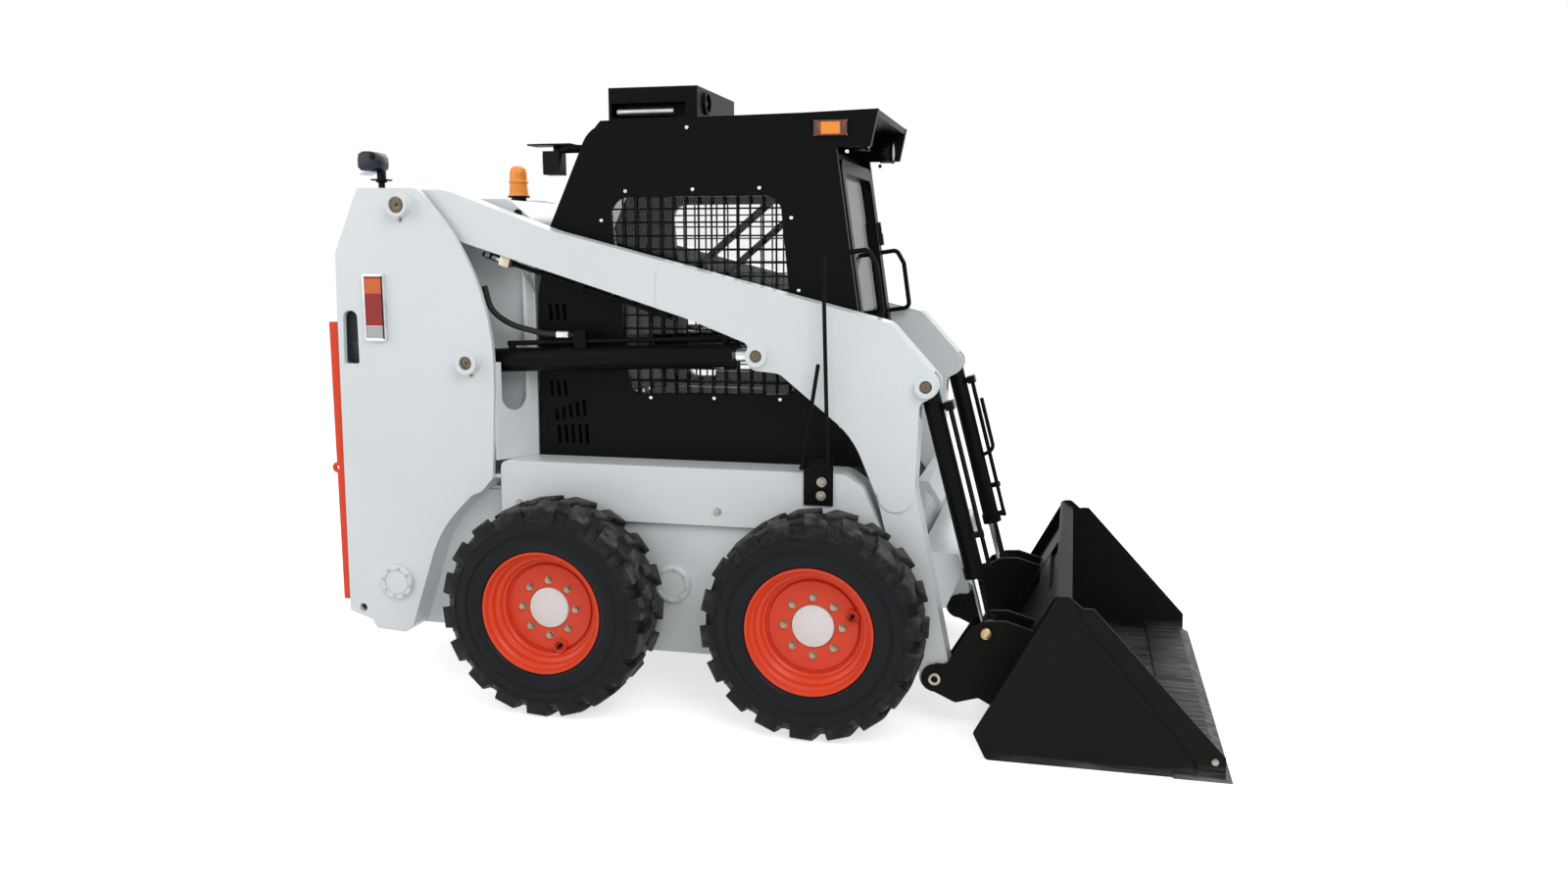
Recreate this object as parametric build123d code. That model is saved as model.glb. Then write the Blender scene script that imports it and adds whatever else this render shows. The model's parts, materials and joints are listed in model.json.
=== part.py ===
"""Skid steer loader with an enclosed cab and a general purpose bucket.

Millimetres.  X points forward, Y to the machine's left, Z up from the floor.
While modelling, X is measured from the rear axle.  save() moves every piece
so that the finished part has X = 0 at the middle of its length.
"""
import os
from math import atan2, cos, degrees, hypot, radians, sin, sqrt, tan

from build123d import *

os.makedirs("parts", exist_ok=True)

# ---------------------------------------------------------------- driving sizes
# Wheels
WHEELBASE = 964
TYRE_R = 385              # over the lugs
TYRE_W = 264
TYRE_INNER_Y = 536        # plane of the inner sidewall
LUG_H = 20
LUGS_PER_SIDE = 18
LUG_T = 46
LUG_LEAN = 24             # degrees that a lug leans from the axle's direction
SHOULDER = 18             # tread's edge inside the sidewall
RIM_R = 222               # outer edge of the rim flange
RIM_INSET = 10            # rim flange inside the tyre's outer sidewall
DISC_INSET = 84           # wheel disc behind the rim flange
HUB_CAP_R = 77
SPINDLE_R = 35

# Planes across the machine, one side (mirrored to the other)
CHAIN_CASE_Y = 500        # outer face of the chain case
BAY_Y = 430               # outer face of the engine bay
FENDER_Y = 525            # outer face of the upper side boxes
TOWER_Y = 548             # outer face of the rear uprights
TOWER_T = 20
INNER_PLATE_Y = 368       # outer face of the upright's inner plate
INNER_PLATE_T = 16
CAB_Y = 370               # outer face of the cab
CAB_WALL = 25
ARM_Y = 455               # middle of the lift arm and both cylinders
ARM_T = 110
OVERLAY_T = 5             # plate that stiffens the arm's front half
BUCKET_HALF = 800

# Chassis
GROUND_CLEAR = 184
SILL_Z = 672              # top of the chain case, underside of the side boxes
LEDGE_Z = 880             # top of the side boxes, where the cab stands
SHEET = 8
CHASSIS_FRONT = 1120
NOSE_FRONT = 1262
TAIL_X = -907             # rear face of the uprights
HOOD_TOP = ((-700, 1844), (-275, 1838))
TAIL_DOOR_T = 33.5
TAIL_DOOR_HALF = 533
TAIL_DOOR_Z = (308, 1383)
TAIL_HINGE = (TAIL_X - 18, TAIL_DOOR_HALF + 8)
TAIL_HINGE_Z = (520, 1170)
TAIL_LATCH_Z = 826

# Pivots, (x, z)
ARM_PIVOT = (-605, 1811)
LIFT_BASE = (-355, 1243)
LIFT_PIN = (721, 1284)
TILT_TOP = (1313, 1191)
TILT_PIN = (1536, 346)
COUPLER_PIVOT = (1361, 170)
TAIL_COVER = (-694, 395)
PIVOT_PIN_R = 30
LIFT_PIN_R = 25
TILT_PIN_R = 20
COUPLER_PIN_R = 22
FIT = 0.5                 # radial clearance of a turning pin or rod
SIDE_GAP = 3              # clearance beside an eye in its fork
SEAT_GAP = 0.3            # between a piece and what it rests on or stands against
BOSS_R = 42
BOSS_OUT = 45             # how far a pivot boss stands out

# Cylinders
LIFT_BARREL_R = 44
LIFT_BARREL_END = 982     # distance from the base pin to the gland
LIFT_ROD_R = 24
HOSE_BLOCK_D = 400        # hose block on the lift cylinder, from the base pin
HOSE_BLOCK_HALF = 23
TILT_BARREL_R = 33
TILT_BARREL_END = 690
TILT_ROD_R = 19
EYE_R_LIFT = 36
EYE_R_TILT = 30

# Bucket
LIP_X = 2326
BACK_LEAN = 28.5          # degrees that the bucket's back leans from upright
BUCKET_HEEL = (1559, 1)
BUCKET_BACK_LOW = (1516, 87)
BUCKET_TOP = (1775, 564)
BACK_INSET = 40           # back panel inside the rear edge of the side plates
BUCKET_T = 10
LIP_T = 22
EDGE_HOLE_PITCH = 260     # bolt holes for an edge, across the floor behind the lip
EDGE_HOLE_X = LIP_X - 205
EDGE_HOLE_R = 9
HOOK_SLOT_Y = (-500, -300, 300, 500)    # openings in the flange along the top of the back
HOOK_SLOT_W = 130

# Cab
POLE_LAMP = (-768, -450)      # (x, y) on the right upright
BEACON_X = -402
BEACON_R = 44
ROOF_Z = 2118
ROOF_T = 18
VISOR_X = 1115
DOOR_FOOT = (1132, 905)   # lower front corner of the door
DOOR_LEAN = 8.3           # degrees that the door leans back
DOOR_H = 1075
DOOR_HALF = 328
DOOR_T = 40
DOOR_RAIL = 48
POST_INSET = 4            # front posts behind the door's face
GLASS_T = 6
UNIT_X = (87, 430)        # roof unit
UNIT_HALF = 250
UNIT_TOP = 2242
DRIER_BACK_Y = -190       # rear of the recess for the drier
DRIER_R = 18
MARKER_X = (892, 1009)
MARKER_Z = (2041, 2093)
RISER_Z = 980             # top of the seat riser
HINGE_R = 12              # knuckles of the cab door's hinges
HINGE_V = (180, 820)      # height of each hinge up the door
HINGE_LEN = 46
LOUVRE_PITCH = 28
LOUVRE_W = 13
MESH_PITCH = 48
MESH_BAR = 6

FRONT_AXLE = (WHEELBASE, TYRE_R)
REAR_AXLE = (0, TYRE_R)
MID_X = (LIP_X + TAIL_X - 0.5 - TAIL_DOOR_T) / 2


# ---------------------------------------------------------------- helpers
def save(name, shape):
    """Write one named piece, with X moved to the part's own origin."""
    solids = [Pos(-MID_X, 0, 0) * solid for solid in shape.solids()]
    export_step(solids[0] if len(solids) == 1 else Compound(solids), f"parts/{name}.step")


def outline(rows):
    """Closed face from rows of (x, z, corner radius)."""
    points = [(x, z) for x, z, _ in rows]
    radii = [r for _, _, r in rows]
    if not any(radii):
        return make_face(Polyline(*points, close=True))
    return make_face(FilletPolyline(*points, radius=radii, close=True))


def upright(face, y_low, y_high):
    """Stand a face drawn in (x, z) up and give it the width y_low to y_high."""
    solid = extrude(face, amount=y_high - y_low, dir=(0, 0, 1))
    return Pos(0, y_high, 0) * Rot(90, 0, 0) * solid


def plate(rows, y_low, y_high):
    return upright(outline(rows), y_low, y_high)


def block(x, y, z):
    """Box from three (low, high) pairs."""
    size = [b - a for a, b in (x, y, z)]
    return Pos(x[0], y[0], z[0]) * Box(*size, align=(Align.MIN,) * 3)


def across(rows, half):
    """Prism along X from an outline in Y and Z, half as far to each side of X = 0."""
    return extrude(Plane.YZ * make_face(Polyline(*rows, close=True)), amount=half, both=True)


def disc(centre, radius, y_low, y_high):
    """Cylinder along Y at the (x, z) centre."""
    x, z = centre
    return Pos(x, (y_low + y_high) / 2, z) * Rot(90, 0, 0) * Cylinder(radius, abs(y_high - y_low))


def rod(start, end, radius):
    """Cylinder between two points in space."""
    axis = Vector(*end) - Vector(*start)
    face = Plane(origin=start, z_dir=axis) * Circle(radius)
    return extrude(face, amount=axis.length, dir=axis)


def spin(rows, centre):
    """Turn a section of (radius, y) rows about the Y axis through the (x, z) centre."""
    face = make_face(Polyline(*rows, close=True))
    return Pos(centre[0], 0, centre[1]) * revolve(face, Axis.Y)


def other_side(shape):
    return mirror(shape, about=Plane.XZ)


def both(shape):
    return [shape, other_side(shape)]


def group(*shapes):
    """Solids of one node that don't touch each other."""
    return Compound([solid for shape in shapes for solid in shape.solids()])


def along(start, end, distance, offset=0):
    """Point at a distance from start towards end, and offset to the left of that line."""
    length = hypot(end[0] - start[0], end[1] - start[1])
    ux, uz = (end[0] - start[0]) / length, (end[1] - start[1]) / length
    return (start[0] + ux * distance - uz * offset, start[1] + uz * distance + ux * offset)


def bar(start, end, d_low, d_high, radius, y=ARM_Y, offset=0):
    """Cylinder on the line from start to end, between two distances from start."""
    a = along(start, end, d_low, offset)
    b = along(start, end, d_high, offset)
    return rod((a[0], y, a[1]), (b[0], y, b[1]), radius)


def bent_pipe(route, radius, bends, y):
    """Pipe at a stated Y through (x, z) points, with one radius for its bends or one for each."""
    path = FilletPolyline(*route, radius=bends)
    section = Plane(origin=path @ 0, z_dir=path % 0) * Circle(radius)
    return Pos(0, y, 0) * Rot(90, 0, 0) * sweep(section, path=path)


def turned(rows, x, z):
    """Solid of (radius, height, corner radius) rows turned about the upright axis at X, in the middle plane."""
    return Pos(x, 0, z) * revolve(Plane.XZ * outline(rows), Axis.Z)


def span(a, b):
    return hypot(b[0] - a[0], b[1] - a[1])


# ---------------------------------------------------------------- wheels
def tyre(centre):
    """Casing with two rows of leaning lugs, the left wheel's tyre, one flat to each lug."""
    half, flats = TYRE_W / 2, 2 * LUGS_PER_SIDE
    tread, bead = TYRE_R - LUG_H, RIM_R + SEAT_GAP
    turn = 360 / flats
    slope = tan(radians(turn / 2))
    side = [(half - RIM_INSET, bead), (half, bead + 72), (half - SHOULDER, tread)]
    wedge = plate([(0, 0, 0), (TYRE_R * slope, TYRE_R, 0), (-TYRE_R * slope, TYRE_R, 0)], -half, half)
    flat = across(side + [(-y, r) for y, r in reversed(side)], TYRE_R * slope) & wedge
    casing = flat.fuse(*[Rot(0, k * turn, 0) * flat for k in range(1, flats)])
    lean = radians(LUG_LEAN)
    corner = half / 2 * sin(lean) + LUG_T / 2 * cos(lean)
    top = sqrt(TYRE_R**2 - corner**2)
    lug_rows = [(3, tread - 8), (3, top), (half - 26, top), (half - 7, tread - 14)]
    lug = Pos(0, half / 2, 0) * Rot(0, 0, LUG_LEAN) * Pos(0, -half / 2, 0) * across(lug_rows, LUG_T / 2)
    row = [Rot(0, 2 * k * turn, 0) * lug for k in range(LUGS_PER_SIDE)]
    lugs = row + [Rot(0, turn, 0) * other_side(piece) for piece in row]
    return Pos(centre[0], TYRE_INNER_Y + half, centre[1]) * casing.fuse(*lugs)


def rim(centre):
    """Rim, recessed disc and hub of the left wheel."""
    flange = TYRE_INNER_Y + TYRE_W - RIM_INSET
    back = TYRE_INNER_Y + RIM_INSET
    face = flange - DISC_INSET
    return spin(
        [
            (RIM_R, back),
            (RIM_R, flange),
            (RIM_R - 32, face + 10),
            (HUB_CAP_R, face),
            (HUB_CAP_R, face + 16),
            (0, face + 16),
            (0, face - 12),
            (SPINDLE_R + FIT, face - 12),
            (SPINDLE_R + FIT, face - 54),
            (HUB_CAP_R, face - 54),
            (HUB_CAP_R, face - 10),
            (RIM_R - 22, face - 10),
        ],
        centre,
    )


def axle_housing(centre):
    """Axle tube on the chain case, with the spindle that carries the hub."""
    face = TYRE_INNER_Y + TYRE_W - RIM_INSET - DISC_INSET
    tube = disc(centre, 62, CHAIN_CASE_Y, face - 56)
    flange = disc(centre, 95, CHAIN_CASE_Y, CHAIN_CASE_Y + 14)
    spindle = disc(centre, SPINDLE_R, CHAIN_CASE_Y, face - 14)
    return tube + flange + spindle


# ---------------------------------------------------------------- chassis
def chassis_frame():
    """Welded tub: chain cases each side, engine bay behind, sloped nose in front."""
    wide = block((-262, CHASSIS_FRONT), (-CHAIN_CASE_Y, CHAIN_CASE_Y), (GROUND_CLEAR, SILL_Z))
    bay = block((TAIL_X + 12, -262), (-BAY_Y, BAY_Y), (GROUND_CLEAR + 20, 750))
    nose = plate(
        [
            (CHASSIS_FRONT, GROUND_CLEAR, 0),
            (NOSE_FRONT - 60, GROUND_CLEAR + 20, 40),
            (NOSE_FRONT, 420, 0),
            (NOSE_FRONT, 700, 0),
            (CHASSIS_FRONT, 700, 0),
        ],
        -INNER_PLATE_Y,
        INNER_PLATE_Y,
    )
    hollow_wide = block(
        (-262 + SHEET, CHASSIS_FRONT - SHEET),
        (-CHAIN_CASE_Y + SHEET, CHAIN_CASE_Y - SHEET),
        (GROUND_CLEAR + SHEET, SILL_Z + 1),
    )
    hollow_bay = block(
        (TAIL_X + 12 + SHEET, -262 + SHEET + 1),
        (-BAY_Y + SHEET, BAY_Y - SHEET),
        (GROUND_CLEAR + 20 + SHEET, 751),
    )
    hollow_nose = plate(
        [
            (CHASSIS_FRONT - 2 * SHEET, GROUND_CLEAR + 2 * SHEET, 0),
            (NOSE_FRONT - 60 - SHEET, GROUND_CLEAR + 40, 30),
            (NOSE_FRONT - SHEET, 425, 0),
            (NOSE_FRONT - SHEET, 701, 0),
            (CHASSIS_FRONT - 2 * SHEET, 701, 0),
        ],
        -INNER_PLATE_Y + SHEET,
        INNER_PLATE_Y - SHEET,
    )
    tub = wide + bay + nose - hollow_wide - hollow_bay - hollow_nose
    covers = [disc((396, 443), 70, CHAIN_CASE_Y, CHAIN_CASE_Y + 10)]
    for cover in covers:
        tub = tub + cover + other_side(cover)
    return tub


def entry_step():
    """Tread plate that hangs on the nose below the door."""
    top = 828
    front = NOSE_FRONT + 88
    rows = [
        (NOSE_FRONT + 0.3, 700, 0),
        (NOSE_FRONT + 0.3, top, 0),
        (NOSE_FRONT + 40, top, 0),
        (front, top - 76, 0),
        (front - 4, top - 90, 0),
        (NOSE_FRONT + 30, top - 30, 0),
        (NOSE_FRONT + 12, 700, 0),
    ]
    return plate(rows, -310, 310)


def fender():
    """Side box above the chain case, folded sheet, open towards the cab."""
    rows = [
        (-262, SILL_Z, 0),
        (-262, LEDGE_Z, 30),
        (1034, LEDGE_Z, 60),
        (1102, 833, 40),
        (1168, SILL_Z, 0),
    ]
    inner = [
        (-262 + SHEET, SILL_Z - 1, 0),
        (-262 + SHEET, LEDGE_Z - SHEET, 0),
        (1030, LEDGE_Z - SHEET, 50),
        (1095, 830, 30),
        (1168 - 2 * SHEET, SILL_Z - 1, 0),
    ]
    y_in = INNER_PLATE_Y
    return plate(rows, y_in, FENDER_Y) - plate(inner, y_in - 1, FENDER_Y - SHEET)


TOWER_ROWS = [
    # x, z, corner radius
    (-785, 1876, 20),
    (-540, 1872, 60),
    (-263, 1544, 860),
    (-266, 1143, 0),
    (-284, 814, 0),
    (-330, 763, 10),
    (-372, 745, 20),
    (-507, 610, 480),
    (-639, 226, 20),
    (-672, 196, 10),
    (-794, 203, 10),
    (-815, 237, 10),
    (TAIL_X, 268, 0),
    (TAIL_X + 12, 1406, 0),
    (TAIL_X + 18, 1641, 30),
]


def tower():
    """Rear upright: outer and inner plates, joined by a back wall and a slotted front flange."""
    y_out = TOWER_Y - TOWER_T
    outer = plate(TOWER_ROWS, y_out, TOWER_Y)
    inner_rows = [
        (-785, 1876, 20),
        (-560, 1872, 60),
        (-215, 1600, 120),
        (-176, 1490, 60),
        (-180, LEDGE_Z, 0),
        (-262, LEDGE_Z, 0),
        (-262, 752, 0),
        (TAIL_X + 12, 752, 0),
        (TAIL_X + 12, 1406, 0),
        (TAIL_X + 18, 1641, 30),
    ]
    inner = plate(inner_rows, INNER_PLATE_Y - INNER_PLATE_T, INNER_PLATE_Y)
    back = plate(
        [
            (TAIL_X, 268, 0),
            (TAIL_X + 12, 1406, 0),
            (TAIL_X + 18, 1641, 0),
            (-785, 1876, 0),
            (-773, 1870, 0),
            (TAIL_X + 30, 1638, 0),
            (TAIL_X + 24, 1406, 0),
            (TAIL_X + 12, 268, 0),
        ],
        INNER_PLATE_Y - INNER_PLATE_T,
        y_out,
    )
    back = back - block((TAIL_X + 12, 0), (0, BAY_Y), (0, 752)) - block((TAIL_X - 10, TAIL_X + 30), (0, BAY_Y), (0, 752))
    shelf = block((TAIL_X + 14, -262), (INNER_PLATE_Y, BAY_Y), (752, 764))
    arch_rows = [
        (-262, 814, 0),
        (-284, 814, 0),
        (-330, 763, 10),
        (-372, 745, 20),
        (-507, 610, 480),
        (-639, 226, 20),
        (-672, 196, 10),
        (-794, 203, 10),
        (-815, 237, 10),
        (TAIL_X, 268, 0),
        (TAIL_X, 280, 0),
        (-809, 250, 8),
        (-790, 215, 6),
        (-676, 208, 6),
        (-650, 230, 12),
        (-518, 618, 480),
        (-378, 757, 16),
        (-334, 776, 8),
        (-290, 826, 0),
        (-262, 826, 0),
    ]
    arch = plate(arch_rows, BAY_Y + 0.3, y_out)
    flange_plan = make_face(
        Polyline((-276, y_out + 4), (-266, y_out + 4), (-180, INNER_PLATE_Y), (-192, INNER_PLATE_Y - 4), close=True)
    )
    flange = Pos(0, 0, LEDGE_Z + 0.3) * extrude(flange_plan, amount=720, dir=(0, 0, 1))
    slot_low = 1060
    slot_half = LIFT_BARREL_R + 10
    slot = block((-300, -150), (ARM_Y - slot_half, ARM_Y + slot_half), (slot_low + slot_half, 1600))
    slot_foot = rod((-300, ARM_Y, slot_low + slot_half), (-150, ARM_Y, slot_low + slot_half), slot_half)
    open_top = block((-300, -150), (ARM_Y - slot_half, TOWER_Y), (LIFT_BASE[1], 1700))
    flange = (flange - slot - slot_foot - open_top) & plate(inner_rows, 0, TOWER_Y)
    body = outer + inner + back + shelf + arch + flange
    for centre, bore in ((ARM_PIVOT, PIVOT_PIN_R), (LIFT_BASE, LIFT_PIN_R)):
        body = body + disc(centre, BOSS_R, y_out, TOWER_Y + BOSS_OUT)
        body = body - disc(centre, bore + 0.3, INNER_PLATE_Y - 20, TOWER_Y + BOSS_OUT + 1)
    body = body + disc(TAIL_COVER, 66, TOWER_Y - 1, TOWER_Y + 10) - disc(TAIL_COVER, 50, TOWER_Y + 6, TOWER_Y + 11)
    pocket = plate([(-875, 1229, 8), (-812, 1229, 8), (-812, 1427, 26), (-870, 1427, 26)], y_out - 1, TOWER_Y + 1)
    lashing = disc((-850, 262 + 20), 16, y_out - 1, TOWER_Y + 1)
    return body - pocket - lashing


def pivot_pins():
    """Pins on which the arms and the lift cylinders turn, both sides."""
    pins = []
    for centre, radius in ((ARM_PIVOT, PIVOT_PIN_R), (LIFT_BASE, LIFT_PIN_R)):
        pins += both(disc(centre, radius, INNER_PLATE_Y - INNER_PLATE_T, TOWER_Y + BOSS_OUT - 8))
    return group(*pins)


def hood():
    """Engine cover between the uprights, open below."""
    y_half = INNER_PLATE_Y - INNER_PLATE_T - SEAT_GAP
    rows = [
        (TAIL_X + 14, 1390, 0),
        (TAIL_X + 20, 1560, 60),
        (*HOOD_TOP[0], 70),
        (*HOOD_TOP[1], 60),
        (-182, 1760, 60),
        (-182, 1390, 0),
    ]
    inner = [
        (TAIL_X + 14 + SHEET, 1389, 0),
        (TAIL_X + 20 + SHEET, 1556, 54),
        (HOOD_TOP[0][0] + 4, HOOD_TOP[0][1] - SHEET, 64),
        (HOOD_TOP[1][0] - 3, HOOD_TOP[1][1] - SHEET, 54),
        (-182 - SHEET, 1756, 54),
        (-182 - SHEET, 1389, 0),
    ]
    return plate(rows, -y_half, y_half) - plate(inner, -y_half + SHEET, y_half - SHEET)


def tail_door():
    """Louvred rear door, hinged at the left upright."""
    back = TAIL_X - 0.5
    half = TAIL_DOOR_HALF
    low, high = TAIL_DOOR_Z
    door = block((back - TAIL_DOOR_T, back), (-half, half), (low, high))
    inside = block((back - TAIL_DOOR_T + 8, back + 1), (-half + 20, half - 20), (low + 20, high - 20))
    door = door - inside
    for k in range(9):
        z = low + 330 + k * 62
        door = door - block((back - TAIL_DOOR_T - 9, back + 1), (-300, 300), (z, z + 26))
    x, y = TAIL_HINGE
    for z in TAIL_HINGE_Z:
        door = door + Pos(x, y, z) * Cylinder(9, 60) - Pos(x, y, z) * Cylinder(5.5, 62)
    latch = (back - TAIL_DOOR_T, TAIL_LATCH_Z)
    return door + disc(latch, 20, -half, -half + 14) - disc(latch, 8, -half - 1, -half + 15)


def tail_hinge_lugs():
    """Lugs on the left upright, each with the pin that its knuckle turns on."""
    x, y = TAIL_HINGE
    body = None
    for z in TAIL_HINGE_Z:
        piece = Pos(x, y, z) * Cylinder(5, 80)
        for end in (31, -39):
            piece = piece + block((x - 4.5, TAIL_X + 14), (y - 4.5, y + 4.5), (z + end, z + end + 8))
        body = piece if body is None else body + piece
    return body


# ---------------------------------------------------------------- lift arms
BEAM_TOP_REAR = (-369, 1844)
BEAM_KNEE = (1185, 1404)
BEAM_LOW = ((-395, 1679), (462, 1412))      # underside of the beam
PIPE_R = 9
PIPE_DROP = 22            # pipe's axis below the beam
ARM_ROWS = [
    # x, z, corner radius: top edge from the pivot to the knee, then down the leg
    (-668, 1868, 50),
    (-455, 1868, 300),
    (-48, 1720, 400),
    (BEAM_KNEE[0], BEAM_KNEE[1], 60),
    (1385, 1182, 50),
    (1290, 1130, 30),
    (1279, 832, 200),
    (1414, 180, 0),
    (1308, 168, 0),
    (1148, 800, 60),
    (1060, 1010, 300),
    (800, 1224, 60),
    (672, 1236, 44),
    (688, 1325, 20),
    (*BEAM_LOW[1], 500),
    (*BEAM_LOW[0], 200),
    (-590, 1750, 60),
    (-668, 1760, 50),
]


OVERLAY_ROWS = [
    # x, z, corner radius: region of the arm that the stiffening plates cover
    (352, 1640, 90),
    (352, 1420, 80),
    (700, 1180, 0),
    (1100, 812, 0),
    (1275, 812, 0),
    (1275, 836, 0),
    (1500, 900, 0),
    (1500, 1640, 0),
]


def lift_arm():
    """One lift arm: beam, knee and leg, forked where the cylinders join it."""
    y_in, y_out = ARM_Y - ARM_T / 2, ARM_Y + ARM_T / 2
    arm = plate(ARM_ROWS, y_in, y_out)
    foot = disc(COUPLER_PIVOT, 56, y_in, y_out)
    stiffened = plate(OVERLAY_ROWS, y_in - OVERLAY_T - 1, y_out + OVERLAY_T + 1)
    stiffened = stiffened + disc((1213, 812), 62, y_in - OVERLAY_T - 1, y_out + OVERLAY_T + 1)
    overlay = plate(ARM_ROWS, y_in - OVERLAY_T, y_out + OVERLAY_T) & stiffened
    arm = arm + foot + overlay
    eye = EYE_R_LIFT + 12
    lift_fork = disc(LIFT_PIN, eye, ARM_Y - 27 - SIDE_GAP, ARM_Y + 27 + SIDE_GAP)
    lift_fork = lift_fork + block(
        (LIFT_PIN[0] - 130, LIFT_PIN[0] + eye),
        (ARM_Y - 27 - SIDE_GAP, ARM_Y + 27 + SIDE_GAP),
        (LIFT_PIN[1] - 90, LIFT_PIN[1] + 40),
    )
    nose_fork = plate(
        [
            (TILT_TOP[0] - 46, TILT_TOP[1] + 46, 40),
            (1420, TILT_TOP[1] + 46, 0),
            (1420, 1060, 0),
            (TILT_TOP[0] - 22, 1060, 0),
            (TILT_TOP[0] - 46, 1110, 0),
        ],
        ARM_Y - TILT_BARREL_R - 4,
        ARM_Y + TILT_BARREL_R + 4,
    )
    arm = arm - lift_fork - nose_fork
    arm = arm + disc(ARM_PIVOT, 50, INNER_PLATE_Y + 4, TOWER_Y - TOWER_T - 5)
    for centre, radius in ((LIFT_PIN, 38), (TILT_TOP, 38)):
        arm = arm + disc(centre, radius, y_out + OVERLAY_T - 2, y_out + OVERLAY_T + 26)
        arm = arm - disc(centre, radius - 16, y_out + OVERLAY_T + 18, y_out + OVERLAY_T + 27)
    arm = arm - disc(ARM_PIVOT, PIVOT_PIN_R + FIT, INNER_PLATE_Y, TOWER_Y)
    return arm - disc(COUPLER_PIVOT, COUPLER_PIN_R + FIT, y_in - 1, y_out + 1)


def tilt_pins():
    """Pins through the arms' noses, on which the tilt cylinders turn."""
    y_low, y_high = ARM_Y - TILT_BARREL_R - 4, ARM_Y + TILT_BARREL_R + 4
    return group(*both(disc(TILT_TOP, TILT_PIN_R, y_low, y_high)))


def arm_cross():
    """Cross member between the legs, and the tube behind the coupler."""
    rows = [
        (1285, 588, 0),
        (1420, 588, 10),
        (1442, 528, 10),
        (1382, 388, 10),
        (1320, 388, 10),
        (1285, 500, 10),
    ]
    half = ARM_Y - ARM_T / 2
    return plate(rows, -half, half)


def arm_pipes():
    """Pipe clipped under each beam."""
    rear, front = BEAM_LOW
    line = [along(rear, front, d, -PIPE_DROP) for d in (70, span(rear, front) - 60)]
    pipe = rod((line[0][0], ARM_Y, line[0][1]), (line[1][0], ARM_Y, line[1][1]), PIPE_R)
    tilt = -degrees(atan2(front[1] - rear[1], front[0] - rear[0]))
    for d in (120, 470, 800):
        x, z = along(rear, front, d, -(PIPE_DROP + PIPE_R) / 2 - SEAT_GAP)
        pipe = pipe + Pos(x, ARM_Y, z) * Rot(0, tilt, 0) * Box(34, 40, PIPE_DROP + PIPE_R - SEAT_GAP)
    return group(*both(pipe))


# ---------------------------------------------------------------- cylinders
def lift_barrel():
    base, pin = LIFT_BASE, LIFT_PIN
    body = bar(base, pin, 30, LIFT_BARREL_END, LIFT_BARREL_R)
    body = body + bar(base, pin, LIFT_BARREL_END - 40, LIFT_BARREL_END, LIFT_BARREL_R + 5)
    body = body + disc(base, LIFT_BARREL_R, ARM_Y - 42, ARM_Y + 42)
    pipe_y = LIFT_BARREL_R + 18
    pipe = bar(base, pin, 110, LIFT_BARREL_END - 20, 9, offset=pipe_y)
    ports = [bar(along(base, pin, d), along(base, pin, d, pipe_y), 0, pipe_y + 9, 14) for d in (124, LIFT_BARREL_END - 34)]
    body = body + pipe + ports[0] + ports[1]
    tilt = -degrees(atan2(pin[1] - base[1], pin[0] - base[0]))
    x, z = along(base, pin, HOSE_BLOCK_D, pipe_y)
    body = body + Pos(x, ARM_Y, z) * Rot(0, tilt, 0) * Box(2 * HOSE_BLOCK_HALF, 34, 80)
    body = body - bar(base, pin, 270, LIFT_BARREL_END + 1, LIFT_ROD_R + FIT)
    return body - disc(base, LIFT_PIN_R + FIT, ARM_Y - 60, ARM_Y + 60)


def lift_hose():
    """Hose that comes out of the upright to the lift cylinder's hose block, with its ferrule."""
    pipe_y = LIFT_BARREL_R + 18
    x, z = along(LIFT_BASE, LIFT_PIN, HOSE_BLOCK_D - HOSE_BLOCK_HALF - SEAT_GAP, pipe_y + 24)
    route = [(x - 355, z + 176), (x - 333, z + 86), (x - 256, z + 34), (x - 124, z + 3), (x - 56, z)]
    rubber = bent_pipe(route, 11, [105, 240, 250], ARM_Y)
    ferrule = rod((x - 58, ARM_Y, z), (x - 14, ARM_Y, z), 13) + rod((x - 14, ARM_Y, z), (x, ARM_Y, z), 9)
    return rubber + ferrule


def lift_rod():
    base, pin = LIFT_BASE, LIFT_PIN
    length = span(base, pin)
    body = bar(base, pin, 280, length - 20, LIFT_ROD_R)
    body = body + disc(pin, EYE_R_LIFT, ARM_Y - 27, ARM_Y + 27)
    return body - disc(pin, 20, ARM_Y - 28, ARM_Y + 28)


def tilt_barrel():
    top, pin = TILT_TOP, TILT_PIN
    body = bar(top, pin, 20, TILT_BARREL_END, TILT_BARREL_R)
    body = body + bar(top, pin, TILT_BARREL_END - 38, TILT_BARREL_END, TILT_BARREL_R + 5)
    body = body + disc(top, TILT_BARREL_R, ARM_Y - TILT_BARREL_R, ARM_Y + TILT_BARREL_R)
    pipe_y = TILT_BARREL_R + 22
    pipe = bar(top, pin, 70, TILT_BARREL_END - 16, 8, offset=pipe_y)
    ports = [bar(along(top, pin, d), along(top, pin, d, pipe_y), 0, pipe_y + 8, 12) for d in (84, TILT_BARREL_END - 30)]
    body = body + pipe + ports[0] + ports[1]
    lean = -degrees(atan2(pin[1] - top[1], pin[0] - top[0]))
    x, z = along(top, pin, 84, pipe_y)
    body = body + Pos(x, ARM_Y, z) * Rot(0, lean, 0) * Box(30, 62, 30)
    low, y = TILT_BARREL_END - 150, ARM_Y + 20
    x, z = along(top, pin, low, (TILT_BARREL_R + pipe_y) / 2)
    body = body + bar(top, pin, 84, low, 7, y, pipe_y) + Pos(x, y, z) * Rot(0, lean, 0) * Box(20, 20, pipe_y - 10)
    body = body - bar(top, pin, 130, TILT_BARREL_END + 1, TILT_ROD_R + FIT)
    return body - disc(top, TILT_PIN_R + FIT, ARM_Y - 60, ARM_Y + 60)


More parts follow.
